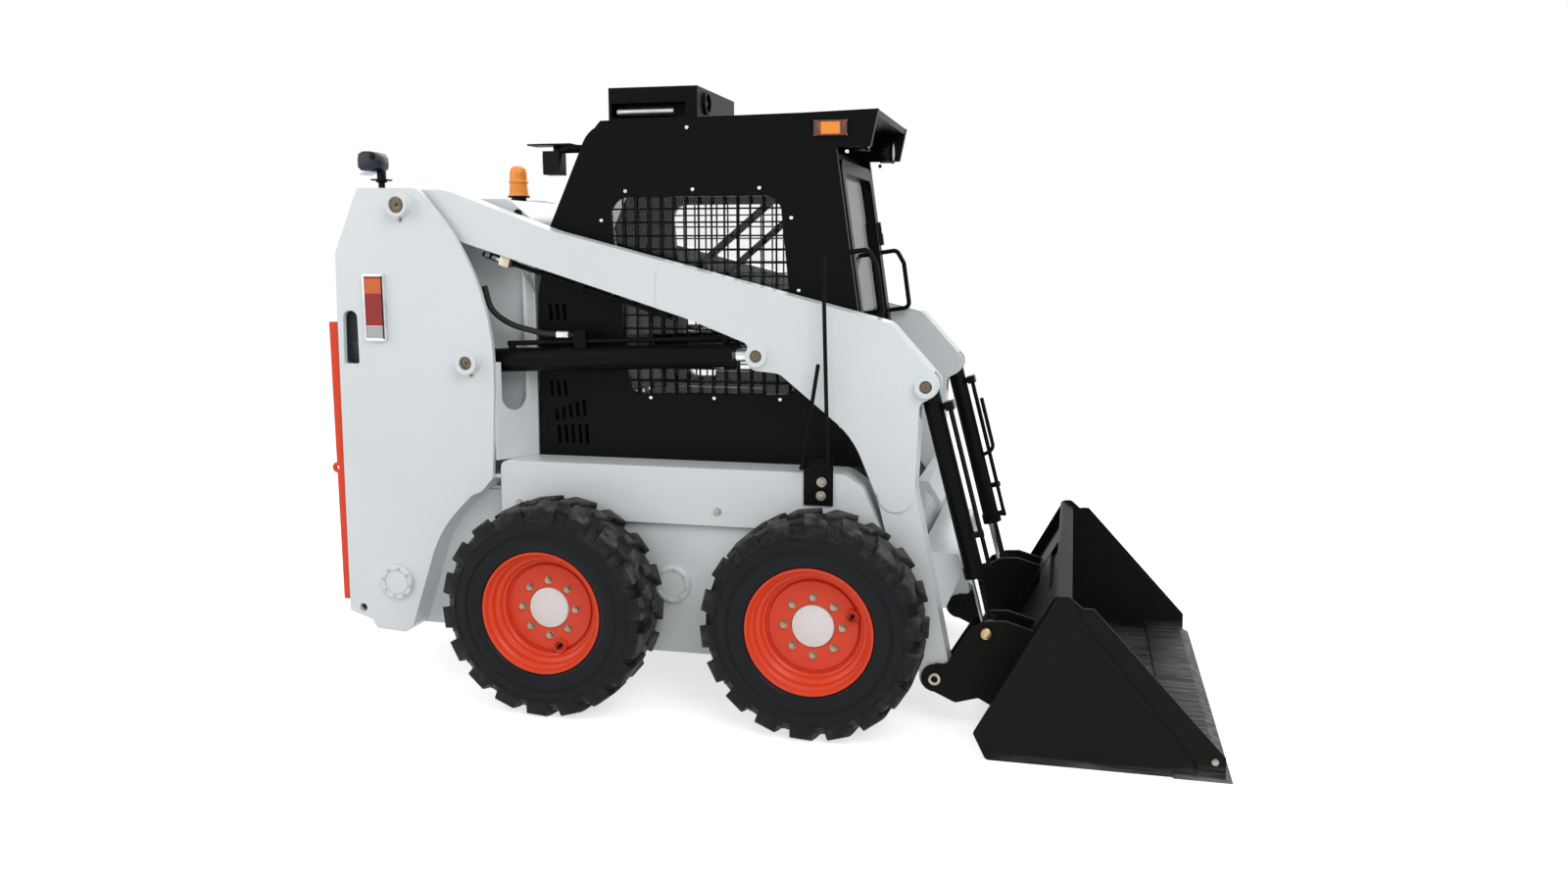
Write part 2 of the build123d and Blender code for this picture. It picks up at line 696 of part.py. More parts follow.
def elbow_pipe():
    """Upright pipe beside the left tilt cylinder, bent into the barrel's side."""
    route = (along(TILT_TOP, TILT_PIN, d, out) for d, out in ((168, 78), (388, 78), (404, TILT_BARREL_R - 13)))
    return bent_pipe(route, 8, 30, ARM_Y - 18)


def tilt_rod():
    top, pin = TILT_TOP, TILT_PIN
    length = span(top, pin)
    body = bar(top, pin, 250, length - 16, TILT_ROD_R)
    body = body + disc(pin, EYE_R_TILT, ARM_Y - 27, ARM_Y + 27)
    return body - disc(pin, 17, ARM_Y - 28, ARM_Y + 28)


# ---------------------------------------------------------------- coupler and bucket
def back_line(distance, depth):
    """Point up the bucket's back from its lower corner, and depth in front of that line."""
    up = radians(90 - BACK_LEAN)
    x, z = BUCKET_BACK_LOW
    return (x + distance * cos(up) + depth * sin(up), z + distance * sin(up) - depth * cos(up))


def coupler():
    """Quick coupler: two faces on the bucket's back, four ears, and the tube between them."""
    face = BACK_INSET - 0.3
    panel_rows = [
        (*back_line(25, face), 0),
        (*back_line(480, face), 0),
        (*back_line(480, face - 16), 0),
        (*back_line(25, face - 16), 0),
    ]
    ear_rows = [
        (1361, 222, 0),
        (COUPLER_PIVOT[0] - 34, COUPLER_PIVOT[1] - 34, 34),
        (1434, 88, 20),
        (*back_line(20, -14), 10),
        (*back_line(20, face - 8), 0),
        (*back_line(330, face - 8), 0),
        (1600, 392, 10),
        (TILT_PIN[0] + 6, 388, 30),
        (1484, 362, 20),
        (1440, 290, 60),
        (1400, 222, 20),
    ]
    ear_t = 14
    gap = ARM_T / 2 + 5
    ears = []
    for y in (ARM_Y - gap - ear_t, ARM_Y + gap):
        ear = plate(ear_rows, y, y + ear_t) + disc(COUPLER_PIVOT, 48, y, y + ear_t)
        ears.append(ear + disc(TILT_PIN, 40, y, y + ear_t))
    pin = disc(COUPLER_PIVOT, COUPLER_PIN_R, ARM_Y - gap - ear_t - 6, ARM_Y + gap + ear_t + 6)
    heads = disc(TILT_PIN, 24, ARM_Y + gap + ear_t - 1, ARM_Y + gap + ear_t + 8)
    collars = [disc(TILT_PIN, 34, ARM_Y - gap - 1, ARM_Y - 27 - SIDE_GAP), disc(TILT_PIN, 34, ARM_Y + 27 + SIDE_GAP, ARM_Y + gap + 1)]
    panel = plate(panel_rows, ARM_Y - 150, ARM_Y + 75)
    half = panel + ears[0] + ears[1] + pin + heads + collars[0] + collars[1]
    tube = disc(back_line(60, 0), 28, -ARM_Y, ARM_Y)
    beam = plate(
        [
            (*back_line(330, face), 0),
            (*back_line(410, face), 0),
            (*back_line(410, face - 14), 0),
            (*back_line(330, face - 14), 0),
        ],
        -ARM_Y,
        ARM_Y,
    )
    return half + other_side(half) + tube + beam


def bucket():
    """Bucket shell, side plates with cutting strips, lip and the flange that the coupler hooks."""
    half = BUCKET_HALF
    side_rows = [
        (*BUCKET_BACK_LOW, 10),
        (BUCKET_HEEL[0], 0, 20),
        (2299, 0, 0),
        (2299, 80, 0),
        (1850, 560 - 30, 0),
        (1809, 566, 20),
        (*BUCKET_TOP, 12),
    ]
    side = plate(side_rows, half - 20, half - 10)
    strip_rows = [
        (1824, 533, 16),
        (1885, 533, 10),
        (2301, 80, 0),
        (2303, 0, 0),
        (2218, 0, 0),
        (2214, 60, 0),
    ]
    strip = plate(strip_rows, half - 10 - 0.5, half)
    t = BUCKET_T
    back_foot = back_line(0, BACK_INSET)
    shell_rows = [
        (*back_line(530, BACK_INSET), 0),
        (back_foot[0], back_foot[1], 0),
        (BUCKET_HEEL[0] + 42, 0, 0),
        (LIP_X - 160, 0, 0),
        (LIP_X - 160, t, 0),
        (BUCKET_HEEL[0] + 50, t, 0),
        (*back_line(8, BACK_INSET + t), 40),
        (*back_line(530, BACK_INSET + t), 0),
    ]
    shell = plate(shell_rows, -half + 19, half - 19)
    lip = plate([(LIP_X - 180, 0, 0), (LIP_X, 0, 0), (LIP_X - 40, LIP_T, 0), (LIP_X - 180, LIP_T, 0)], -half, half)
    flange_rows = [
        (*back_line(486, BACK_INSET + 1), 0),
        (*back_line(530, -6), 0),
        (*back_line(542, -2), 0),
        (*back_line(540, BACK_INSET + t), 0),
        (*back_line(528, BACK_INSET + t), 0),
        (*back_line(530, 8), 0),
        (*back_line(496, BACK_INSET + 4), 0),
    ]
    flange = plate(flange_rows, -half + 19, half - 19)
    foot, head = back_line(486, BACK_INSET + 1), back_line(530, -6)
    slope = Plane(
        origin=((foot[0] + head[0]) / 2, 0, (foot[1] + head[1]) / 2),
        x_dir=(0, 1, 0),
        z_dir=(foot[1] - head[1], 0, head[0] - foot[0]),
    )
    for y in HOOK_SLOT_Y:
        flange = flange - extrude(slope * Pos(y, 0) * SlotOverall(HOOK_SLOT_W, 36), amount=14, both=True)
    body = shell + lip + flange + side + strip + other_side(side + strip)
    for k in range(-5, 6, 2):
        y = k * EDGE_HOLE_PITCH / 2
        body = body - rod((EDGE_HOLE_X, y, -1), (EDGE_HOLE_X, y, BUCKET_T + 1), EDGE_HOLE_R)
    return body


# ---------------------------------------------------------------- cab
CAB_ROWS = [
    (-170, LEDGE_Z + 0.3, 0),
    (-160, 1488, 60),
    (-118, 1712, 200),
    (60, 2100, 110),
    (VISOR_X, ROOF_Z + 11, 0),
    (1089, 2003, 0),
    (917, 2003, 0),
    (988, 1505, 0),
    (1040, LEDGE_Z + 0.3, 0),
]
WINDOW_ROWS = [
    (126, 1840, 60),
    (768, 1840, 60),
    (838, 1135, 50),
    (196, 1122, 50),
]


LOUVRES = [
    # x of the first slot, low, high, rise of each slot over the last, how many
    (-118, 1390, 1452, 0, 3),
    (-122, 1106, 1164, 0, 3),
    (-104, 1014, 1056, 10, 5),
    (-96, 926, 996, 1.5, 5),
]


def cab_side():
    """Side wall with its big window and the louvres behind it."""
    wall = plate(CAB_ROWS, CAB_Y - CAB_WALL, CAB_Y)
    wall = wall - plate(WINDOW_ROWS, CAB_Y - CAB_WALL - 1, CAB_Y + 1)
    for x, low, high, rise, count in LOUVRES:
        for k in range(count):
            left, foot, head = x + k * LOUVRE_PITCH, low + k * rise / 2, high + k * rise
            rows = [(left, foot, 0), (left + LOUVRE_W, foot, 0), (left + LOUVRE_W - 4, head, 0), (left - 4, head, 0)]
            wall = wall - plate(rows, CAB_Y - CAB_WALL - 1, CAB_Y + 1)
    return wall


def window_inset():
    """Outline of what stands in the side window."""
    return offset(outline(WINDOW_ROWS), amount=-SEAT_GAP)


def mesh():
    """Side guards: bars cut to the window, upright bars inside, level bars outside."""
    window = upright(window_inset(), CAB_Y - CAB_WALL, CAB_Y)
    low_x, high_x = WINDOW_ROWS[0][0], WINDOW_ROWS[2][0]
    low_z, high_z = WINDOW_ROWS[3][1], WINDOW_ROWS[0][1]
    uprights, levels = [], []
    y_mid = CAB_Y - 8
    count_x = int((high_x - low_x) // MESH_PITCH)
    count_z = int((high_z - low_z) // MESH_PITCH)
    for k in range(1, count_x + 1):
        x = low_x + k * MESH_PITCH
        uprights.append(window & block((x, x + MESH_BAR), (y_mid - MESH_BAR, y_mid), (low_z - 5, high_z + 5)))
    for k in range(1, count_z + 1):
        z = low_z + k * MESH_PITCH
        levels.append(window & block((low_x - 5, high_x + 5), (y_mid, y_mid + MESH_BAR), (z, z + MESH_BAR)))
    return uprights, levels


def cab_roof():
    """Roof sheet with the visor over the door."""
    y = CAB_Y - CAB_WALL
    rows = [
        (70, ROOF_Z - ROOF_T - 7, 0),
        (90, ROOF_Z - 3, 0),
        (VISOR_X - 2, ROOF_Z + 10, 0),
        (VISOR_X - 6, ROOF_Z - ROOF_T + 8, 0),
    ]
    return plate(rows, -y, y)


def cab_rear():
    """Rear wall with its window, behind the seat."""
    y = CAB_Y - CAB_WALL
    rows = [
        (-170, LEDGE_Z + 0.3, 0),
        (-160, 1488, 60),
        (-118, 1712, 200),
        (50, 2078, 0),
        (74, 2080, 0),
        (-94, 1704, 200),
        (-135, 1488, 60),
        (-145, LEDGE_Z + 0.3, 0),
    ]
    wall = plate(rows, -y, y)
    return wall - block((-200, 60), (-270, 270), (1560, 1950))


def rear_glass():
    rows = [(-160, 1488, 0), (-106, 1712, 200), (62, 2078, 0), (68, 2078, 0), (-100, 1709, 200), (-154, 1488, 0)]
    return plate(rows, -269.7, 269.7) & block((-200, 60), (-269.7, 269.7), (1560.3, 1949.7))


def post_front(z):
    """X of the front edge of the cab's front posts."""
    return DOOR_FOOT[0] - POST_INSET - (z - DOOR_FOOT[1]) * tan(radians(DOOR_LEAN))


def cab_front():
    """Front frame: posts beside the door, header and sill."""
    y = CAB_Y - CAB_WALL
    lean = tan(radians(DOOR_LEAN))
    back = DOOR_T / cos(radians(DOOR_LEAN))
    foot_x = DOOR_FOOT[0] - back - 2
    top_z = 2003

    def door_x(z):
        return foot_x - (z - DOOR_FOOT[1]) * lean

    post_rows = [
        (917, top_z, 0),
        (988, 1505, 0),
        (1040, LEDGE_Z + 0.3, 0),
        (post_front(LEDGE_Z), LEDGE_Z + 0.3, 0),
        (post_front(top_z), top_z, 0),
    ]
    posts = plate(post_rows, y, CAB_Y)
    sill = plate([(1046, LEDGE_Z + 0.3, 0), (door_x(LEDGE_Z), LEDGE_Z + 0.3, 0), (door_x(930), 930, 0), (1046, 930, 0)], -y, y)
    header = plate([(920, 1950, 0), (door_x(1950), 1950, 0), (door_x(top_z), top_z, 0), (920, top_z, 0)], -y, y)
    body = posts + other_side(posts) + sill + header
    for v in HINGE_V:
        knuckle = Pos(0, DOOR_HALF, v - HINGE_LEN / 2) * Cylinder(HINGE_R, HINGE_LEN)
        leaf = block((-HINGE_R, HINGE_R), (DOOR_HALF + 4, y + 6), (v - HINGE_LEN, v))
        body = body + Pos(DOOR_FOOT[0], 0, DOOR_FOOT[1]) * Rot(0, -DOOR_LEAN, 0) * (knuckle + leaf)
    panel = plate([(NOSE_FRONT - 60, 701, 0), (NOSE_FRONT, 701, 0), (1128, LEDGE_Z + 4, 0), (1100, LEDGE_Z + 4, 0)], -y, y)
    return body + panel


def cab_door():
    """Framed door and its pane, drawn flat and leant back into place."""
    height, half = DOOR_H, DOOR_HALF
    place = Pos(DOOR_FOOT[0], 0, DOOR_FOOT[1]) * Rot(0, -DOOR_LEAN, 0)
    slab = block((-DOOR_T, 0), (-half, half), (0, height))
    slab = fillet(slab.edges().filter_by(Axis.X), 50)
    for v in HINGE_V:
        slab = slab - Pos(0, half, v - HINGE_LEN / 2) * Cylinder(HINGE_R + 2, HINGE_LEN + 2 * SEAT_GAP)
        slab = slab + Pos(0, half, v + HINGE_LEN / 2 + SEAT_GAP / 2) * Cylinder(HINGE_R, HINGE_LEN - SEAT_GAP)
    cut = block((-DOOR_T - 1, 1), (-half + DOOR_RAIL, half - DOOR_RAIL), (DOOR_RAIL + 20, height - DOOR_RAIL))
    cut = fillet(cut.edges().filter_by(Axis.X), 40)
    pane = block((-DOOR_T / 2 - GLASS_T, -DOOR_T / 2), (-half + DOOR_RAIL + 0.3, half - DOOR_RAIL - 0.3), (DOOR_RAIL + 20.3, height - DOOR_RAIL - 0.3))
    pane = fillet(pane.edges().filter_by(Axis.X), 39.7)
    return place * (slab - cut), place * pane


def side_glass():
    """Panes behind the side guards."""
    return upright(window_inset(), CAB_Y - CAB_WALL, CAB_Y - CAB_WALL + GLASS_T)


def cab_floor():
    """Floor and seat riser, on the chassis."""
    y = CAB_Y - CAB_WALL - SEAT_GAP
    floor = block((-140, NOSE_FRONT - 72), (-y, y), (SILL_Z + 28, SILL_Z + 38))
    riser = block((-130, 560), (-y, y), (SILL_Z + 38, RISER_Z))
    return floor + riser


def seat():
    cushion = fillet(block((60, 560), (-230, 230), (RISER_Z + SEAT_GAP, 1090)).edges().filter_by(Axis.Y), 40)
    back = plate([(40, 1060, 20), (-60, 1620, 50), (40, 1640, 40), (150, 1092, 20)], -215, 215)
    return cushion + back


def controls():
    """Side consoles with a lever each."""
    pieces = []
    for side in (1, -1):
        y = side * 290
        box = block((330, 700), sorted((y, y + side * 50)), (RISER_Z + SEAT_GAP, 1150))
        lever = rod((640, y + side * 25, 1140), (680, y + side * 25, 1330), 11)
        knob = Pos(683, y + side * 25, 1345) * Sphere(24)
        pieces.append(box + lever + knob)
    return group(*pieces)


SEAT_BAR_PIVOT = (300, 1480)


def seat_bar():
    """U-shaped restraint bar, raised."""
    length, lift_angle, y = 640, radians(40), 262
    x, z = SEAT_BAR_PIVOT
    tip = (x + length * cos(lift_angle), z + length * sin(lift_angle))
    legs = both(rod((x, y, z), (tip[0], y, tip[1]), 14))
    cross = rod((tip[0], -y, tip[1]), (tip[0], y, tip[1]), 14)
    body = cross + legs[0] + legs[1]
    for side in (1, -1):
        hub = disc(SEAT_BAR_PIVOT, 26, side * (y - 16), side * (CAB_Y - CAB_WALL - 0.5))
        body = body + hub
    return body


def roof_top(x):
    """Height of the roof sheet's upper face."""
    return ROOF_Z - 3 + (x - 90) * 13 / (VISOR_X - 92)


def hvac():
    """Roof unit with the recess for its drier."""
    rear, front = UNIT_X
    low = roof_top(front) + SEAT_GAP
    box = block(UNIT_X, (-UNIT_HALF, UNIT_HALF), (low, UNIT_TOP))
    recess = block((rear + 10, front - 45), (-UNIT_HALF - 1, DRIER_BACK_Y), (low + 12, low + 66))
    y, z = -UNIT_HALF + 110, UNIT_TOP - 52
    ring = rod((front - 10, y, z), (front + 10, y, z), 42) - rod((front - 6, y, z), (front + 11, y, z), 34)
    hub = rod((front - 7, y, z), (front + 4, y, z), 12)
    return box - recess - rod((front - 6, y, z), (front + 1, y, z), 42) + ring + hub


def drier():
    y = DRIER_BACK_Y - DRIER_R - SEAT_GAP
    return rod((110, y, ROOF_Z + 40), (330, y, ROOF_Z + 40), DRIER_R)


def beacon():
    """Amber lamp in two tiers on its ribbed foot, on the hood."""
    rear, front = HOOD_TOP
    seat_z = front[1] + (front[0] - BEACON_X + BEACON_R) * (rear[1] - front[1]) / (front[0] - rear[0]) + SEAT_GAP
    foot = [(0, 0, 0), (36, 0, 0), (36, 5, 0), (30, 5, 0), (30, 20, 0), (BEACON_R, 20, 0), (BEACON_R, 25, 0), (0, 25, 0)]
    dome = [
        (0, 0, 0),
        (BEACON_R - 2, 0, 0),
        (BEACON_R - 2, 7, 0),
        (BEACON_R - 5, 7, 0),
        (BEACON_R - 5, 52, 0),
        (BEACON_R - 3, 52, 0),
        (BEACON_R - 3, 58, 0),
        (BEACON_R - 8, 58, 0),
        (BEACON_R - 9, 122, 26),
        (0, 122, 0),
    ]
    return turned(foot, BEACON_X, seat_z), turned(dome, BEACON_X, seat_z + 25 + SEAT_GAP)


def pole_lamp():
    """Work lamp in its yoke, on a post on the right upright."""
    x, y = POLE_LAMP
    shell_rows = [
        (x - 72, 1938, 12),
        (x - 76, 1984, 30),
        (x - 50, 2010, 20),
        (x + 44, 2010, 34),
        (x + 72, 1976, 20),
        (x + 66, 1938, 20),
        (x + 12, 1929, 10),
    ]
    shell = plate(shell_rows, y - 48, y + 48) - block((x - 66, x + 6), (y - 42, y + 42), (1920, 1946))
    yoke = block((x + 20, x + 50), (y - 56, y + 56), (1909, 1915))
    for side in (1, -1):
        low, high = sorted((y + side * 47, y + side * 56))
        yoke = yoke + plate([(x + 20, 1912, 0), (x + 50, 1912, 0), (x + 44, 1976, 8), (x + 26, 1976, 8)], low, high)
    post = rod((x + 32, y, 1876), (x + 32, y, 1911), 10)
    foot = block((x - 20, x + 56), (y - 25, y + 25), (1876, 1882))
    return shell + yoke + post + foot


def tail_lamps():
    lamp = block((-768, -694), (TOWER_Y + 0.3, TOWER_Y + 16), (1322, 1558))
    return group(*both(lamp))


def marker_lamps():
    lamp = block(MARKER_X, (CAB_Y + SEAT_GAP, CAB_Y + 14), MARKER_Z)
    return group(*both(lamp))


def work_lamps():
    """Two lamps under the visor."""
    lamp = rod((1020, 300, 2035), (1062, 300, 2035), 42)
    stem = rod((1040, 300, 2070), (1040, 300, ROOF_Z - ROOF_T + 6.5), 8)
    return group(*both(lamp + stem))


def rear_lamp():
    """Lamp and its small hood behind the cab's top corner."""
    box = block((-132, -70), (-360, -290), (1925, 2010))
    hooding = block((-190, -20), (-366, -284), (2030, 2036))

    def wall_x(z):
        return -118 + (z - 1712) * 168 / 366 - 0.3

    arm = plate([(-100, 2004, 0), (wall_x(2004), 2004, 0), (wall_x(2032), 2032, 0), (-100, 2032, 0)], -336, -316)
    return box + hooding + arm


def guide_rods():
    """Bent rods on their bracket, beside the right front corner."""
    y = -(FENDER_Y + 40)
    plate_y = -(FENDER_Y + 0.3)
    bracket = block((892, 996), (plate_y - 8, plate_y), (767, 933))
    first = rod((984, y, 905), (964, y, 1627), 7)
    second = rod((881 + 12, y, 905), (949, y, 1264), 7)
    feet = [rod((x, y - 6, 905), (x, plate_y - 4, 905), 9) for x in (984, 893)]
    return bracket + first + second + feet[0] + feet[1]


def grab_handles():
    """Bent handles on the cab's front posts, drawn upright and leant with them."""
    route = ((SEAT_GAP, 745), (62, 745), (84, 690), (84, 510), (SEAT_GAP, 510))
    body = bent_pipe(route, 9, 22, 0)
    body = Pos(post_front(DOOR_FOOT[1]), CAB_Y - 12, DOOR_FOOT[1]) * Rot(0, -DOOR_LEAN, 0) * body
    return group(*both(body))


def engine():
    return block((-790, -330), (-250, 250), (GROUND_CLEAR + 20 + SHEET + 0.3, 1050))


# ---------------------------------------------------------------- write every node
def main():
    for end, centre in (("rear", REAR_AXLE), ("front", FRONT_AXLE)):
        rubber, metal = tyre(centre), rim(centre)
        save(f"tyre_{end}_left", rubber)
        save(f"tyre_{end}_right", other_side(rubber))
        save(f"rim_{end}_left", metal)
        save(f"rim_{end}_right", other_side(metal))
    housings = [piece for centre in (REAR_AXLE, FRONT_AXLE) for piece in both(axle_housing(centre))]
    save("axle_housings", group(*housings))
    save("chassis_frame", chassis_frame())
    save("entry_step", entry_step())
    save("engine_block", engine())
    save("hood", hood())
    save("tail_door", tail_door())
    save("pivot_pins", pivot_pins())
    sided = {
        "fender": fender(),
        "cab_side": cab_side(),
        "lift_arm": lift_arm(),
        "lift_barrel": lift_barrel(),
        "lift_hose": lift_hose(),
        "lift_rod": lift_rod(),
        "tilt_rod": tilt_rod(),
    }
    upright_post = tower()
    save("tower_left", upright_post + tail_hinge_lugs())
    save("tower_right", other_side(upright_post))
    for name, shape in sided.items():
        save(f"{name}_left", shape)
        save(f"{name}_right", other_side(shape))
    barrel = tilt_barrel()
    save("tilt_barrel_left", barrel + elbow_pipe())
    save("tilt_barrel_right", other_side(barrel))
    save("arm_cross_member", arm_cross())
    save("arm_pipes", arm_pipes())
    save("tilt_pins", tilt_pins())
    save("quick_coupler", coupler())
    save("bucket", bucket())
    uprights, levels = mesh()
    save("guard_upright_bars", group(*[s for bar_ in uprights for s in both(bar_)]))
    save("guard_level_bars", group(*[s for bar_ in levels for s in both(bar_)]))
    save("cab_roof", cab_roof())
    save("cab_rear_wall", cab_rear())
    save("cab_glass", group(*both(side_glass()), rear_glass()))
    save("cab_front_frame", cab_front())
    save("cab_floor", cab_floor())
    frame, pane = cab_door()
    save("door_frame", frame)
    save("door_glass", pane)
    save("seat", seat())
    save("controls", controls())
    save("seat_bar", seat_bar())
    save("roof_unit", hvac())
    save("roof_unit_drier", drier())
    base, dome = beacon()
    save("beacon_base", base)
    save("beacon_lens", dome)
    save("tail_lamps", tail_lamps())
    save("marker_lamps", marker_lamps())
    save("work_lamps", group(work_lamps(), pole_lamp(), rear_lamp()))
    save("guide_rods", guide_rods())
    save("grab_handles", grab_handles())


main()
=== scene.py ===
# %% [markdown]
# # Dressing a skid steer loader
# A skid steer loader is a short machine on four fixed wheels, with a cab between two lift arms and a bucket in
# front. Its plates, pins and cylinders come as exact solids, one object for each piece. This lesson gives them
# finishes, and adds what is too small or too soft for those solids, such as tread, screws, seams and lenses.

# %% Load the solids
import json
from math import atan2, cos, degrees, exp, hypot, pi, radians, sin

import bmesh
import bpy
from mathutils import Matrix, Vector


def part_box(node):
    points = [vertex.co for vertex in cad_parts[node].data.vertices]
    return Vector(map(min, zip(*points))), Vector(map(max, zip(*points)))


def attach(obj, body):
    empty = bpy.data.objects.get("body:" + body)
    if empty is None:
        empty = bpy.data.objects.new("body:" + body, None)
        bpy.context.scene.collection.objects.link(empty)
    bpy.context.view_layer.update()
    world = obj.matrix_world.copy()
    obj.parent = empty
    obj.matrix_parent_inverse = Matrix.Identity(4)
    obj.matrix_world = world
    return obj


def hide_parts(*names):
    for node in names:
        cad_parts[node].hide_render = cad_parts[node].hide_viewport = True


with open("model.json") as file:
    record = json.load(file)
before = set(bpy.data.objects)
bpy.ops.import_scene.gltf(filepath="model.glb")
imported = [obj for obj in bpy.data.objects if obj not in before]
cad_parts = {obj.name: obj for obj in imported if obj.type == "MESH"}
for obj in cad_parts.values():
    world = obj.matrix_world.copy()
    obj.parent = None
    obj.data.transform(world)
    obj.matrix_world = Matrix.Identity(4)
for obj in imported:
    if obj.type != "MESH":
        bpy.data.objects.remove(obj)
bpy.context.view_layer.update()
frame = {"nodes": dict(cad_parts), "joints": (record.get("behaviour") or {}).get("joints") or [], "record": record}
nodes = frame["nodes"]
joints = {joint["name"]: joint for joint in frame["joints"]}

# %% [markdown]
# ## Camera
# The machine is seen from its right side, a little ahead of its middle, from the height of a standing person's
# eyes. A lens a little wider than the eye's view keeps the near wheels large beside the far arm.

# %% Camera
camera = bpy.data.objects.new("camera", bpy.data.cameras.new("camera"))
bpy.context.collection.objects.link(camera)
camera.data.lens = 27.94
camera.data.sensor_width = 36
camera.location = (1.096, -4.618, 1.633)
camera.rotation_euler = (pi / 2 - 0.1518, 0, 0.2324)
bpy.context.scene.camera = camera
bpy.context.scene.view_settings.view_transform = "Standard"
print("camera at", tuple(camera.location), "lens", camera.data.lens)

# %% [markdown]
# ## Sums on sockets
# A shader is arithmetic on what changes over a surface. Writing that arithmetic as Python expressions keeps it
# readable, so one small class wraps a socket and turns each operator into a Math node.


# %% A wrapper for sockets
class Value:
    """A number that varies over a surface, and takes part in sums."""

    def __init__(self, tree, socket):
        self.tree, self.socket = tree, socket

    def math(self, operation, *others, swap=False):
        values = [*others, self] if swap else [self, *others]
        inputs = {k: value for k, value in enumerate(values)}
        return self.tree.node("ShaderNodeMath", {"operation": operation}, inputs)

    def __add__(self, other):
        return self.math("ADD", other)

    def __sub__(self, other):
        return self.math("SUBTRACT", other)

    def __mul__(self, other):
        return self.math("MULTIPLY", other)

    def __pow__(self, other):
        return self.math("POWER", other)

    def __rsub__(self, other):
        return self.math("SUBTRACT", other, swap=True)

    __radd__ = __add__

    def step(self, low, high):
        """0 below low, 1 above high, smooth between; reversed where high is the lower."""
        settings = {"interpolation_type": "SMOOTHSTEP"}
        return self.tree.node("ShaderNodeMapRange", settings, {0: self, 1: low, 2: high, 3: 0.0, 4: 1.0})

    def limit(self):
        return self.math("MAXIMUM", 0.0).math("MINIMUM", 1.0)


class Finish:
    """A material built round one Principled BSDF."""

    def __init__(self, name, **fixed):
        self.material = bpy.data.materials.new(name)
        self.material.use_nodes = True
        self.nodes, self.links = self.material.node_tree.nodes, self.material.node_tree.links
        self.shader = self.nodes["Principled BSDF"]
        self.place = self.node("ShaderNodeTexCoord", output="Object")
        for key, value in fixed.items():
            self.feed(key.replace("_", " "), value)
        print("finish:", name)

    def node(self, kind, settings=None, inputs=None, output=0):
        made = self.nodes.new(kind)
        for key, value in (settings or {}).items():
            setattr(made, key, value)
        for key, value in (inputs or {}).items():
            self.join(made.inputs[key], value)
        return Value(self, made.outputs[output])

    def join(self, socket, value):
        if isinstance(value, Value):
            self.links.new(value.socket, socket)
        else:
            socket.default_value = value

    def feed(self, name, value):
        if isinstance(value, (tuple, list)) and len(value) == 3 and "Color" in name:
            value = (*value, 1)
        self.join(self.shader.inputs[name], value)

    def axes(self):
        split = self.nodes.new("ShaderNodeSeparateXYZ")
        self.links.new(self.place.socket, split.inputs[0])
        return [Value(self, out) for out in split.outputs]

    def noise(self, scale, detail=3, roughness=0.55, stretch=None):
        where = self.place
        if stretch:
            where = self.node("ShaderNodeMapping", {}, {"Vector": where, "Scale": stretch})
        sockets = {"Vector": where, "Scale": scale, "Detail": detail, "Roughness": roughness}
        return self.node("ShaderNodeTexNoise", {}, sockets)

    def mix(self, share, first, second):
        first, second = [(*c, 1) if isinstance(c, tuple) and len(c) == 3 else c for c in (first, second)]
        made = self.nodes.new("ShaderNodeMix")
        made.data_type = "RGBA"
        for key, value in ((0, share), (6, first), (7, second)):
            self.join(made.inputs[key], value)
        return Value(self, made.outputs[2])

    def relief(self, height, depth, edge=0.0):
        """Bump from a height in 0 to 1, over edges rounded by the stated radius."""
        sockets = {"Height": height, "Strength": 1.0, "Distance": depth}
        if edge:
            sockets["Normal"] = self.node("ShaderNodeBevel", {"samples": 6}, {"Radius": edge})
        self.feed("Normal", self.node("ShaderNodeBump", {}, sockets))


# %% [markdown]
# ## Floor and light
# A wide pale floor takes the shadow. The floor and the sky show themselves as white to the camera and in
# reflections, but light the machine at a plain level, so white paint keeps its shading. Four large soft lamps
# stand round it: the key ahead on the right, a weaker fill behind, one above, and one on the far side.


# %% Floor, sky and lamps
def white_to_the_eye(tree, lit, white, links):
    """Mix a lit shader with a white one that only the camera, mirrors and glass see."""
    path = tree.nodes.new("ShaderNodeLightPath")
    sums = [tree.nodes.new("ShaderNodeMath") for _ in range(2)]
    for node, (a, b) in zip(sums, ((0, 3), (None, 6))):
        node.operation = "MAXIMUM"
        if a is None:
            links.new(sums[0].outputs[0], node.inputs[0])
        else:
            links.new(path.outputs[a], node.inputs[0])
        links.new(path.outputs[b], node.inputs[1])
    mix = tree.nodes.new("ShaderNodeMixShader")
    links.new(sums[1].outputs[0], mix.inputs[0])
    links.new(lit, mix.inputs[1])
    links.new(white, mix.inputs[2])
    return mix.outputs[0]


world = bpy.data.worlds.new("studio")
bpy.context.scene.world = world
world.use_nodes = True
sky = world.node_tree
ambient = sky.nodes["Background"]
ambient.inputs[0].default_value = (0.96, 0.98, 1.0, 1)
ambient.inputs[1].default_value = 0.45
backdrop = sky.nodes.new("ShaderNodeBackground")
backdrop.inputs[0].default_value = (1, 1, 1, 1)
shown = white_to_the_eye(sky, ambient.outputs[0], backdrop.outputs[0], sky.links)
sky.links.new(shown, sky.nodes["World Output"].inputs[0])

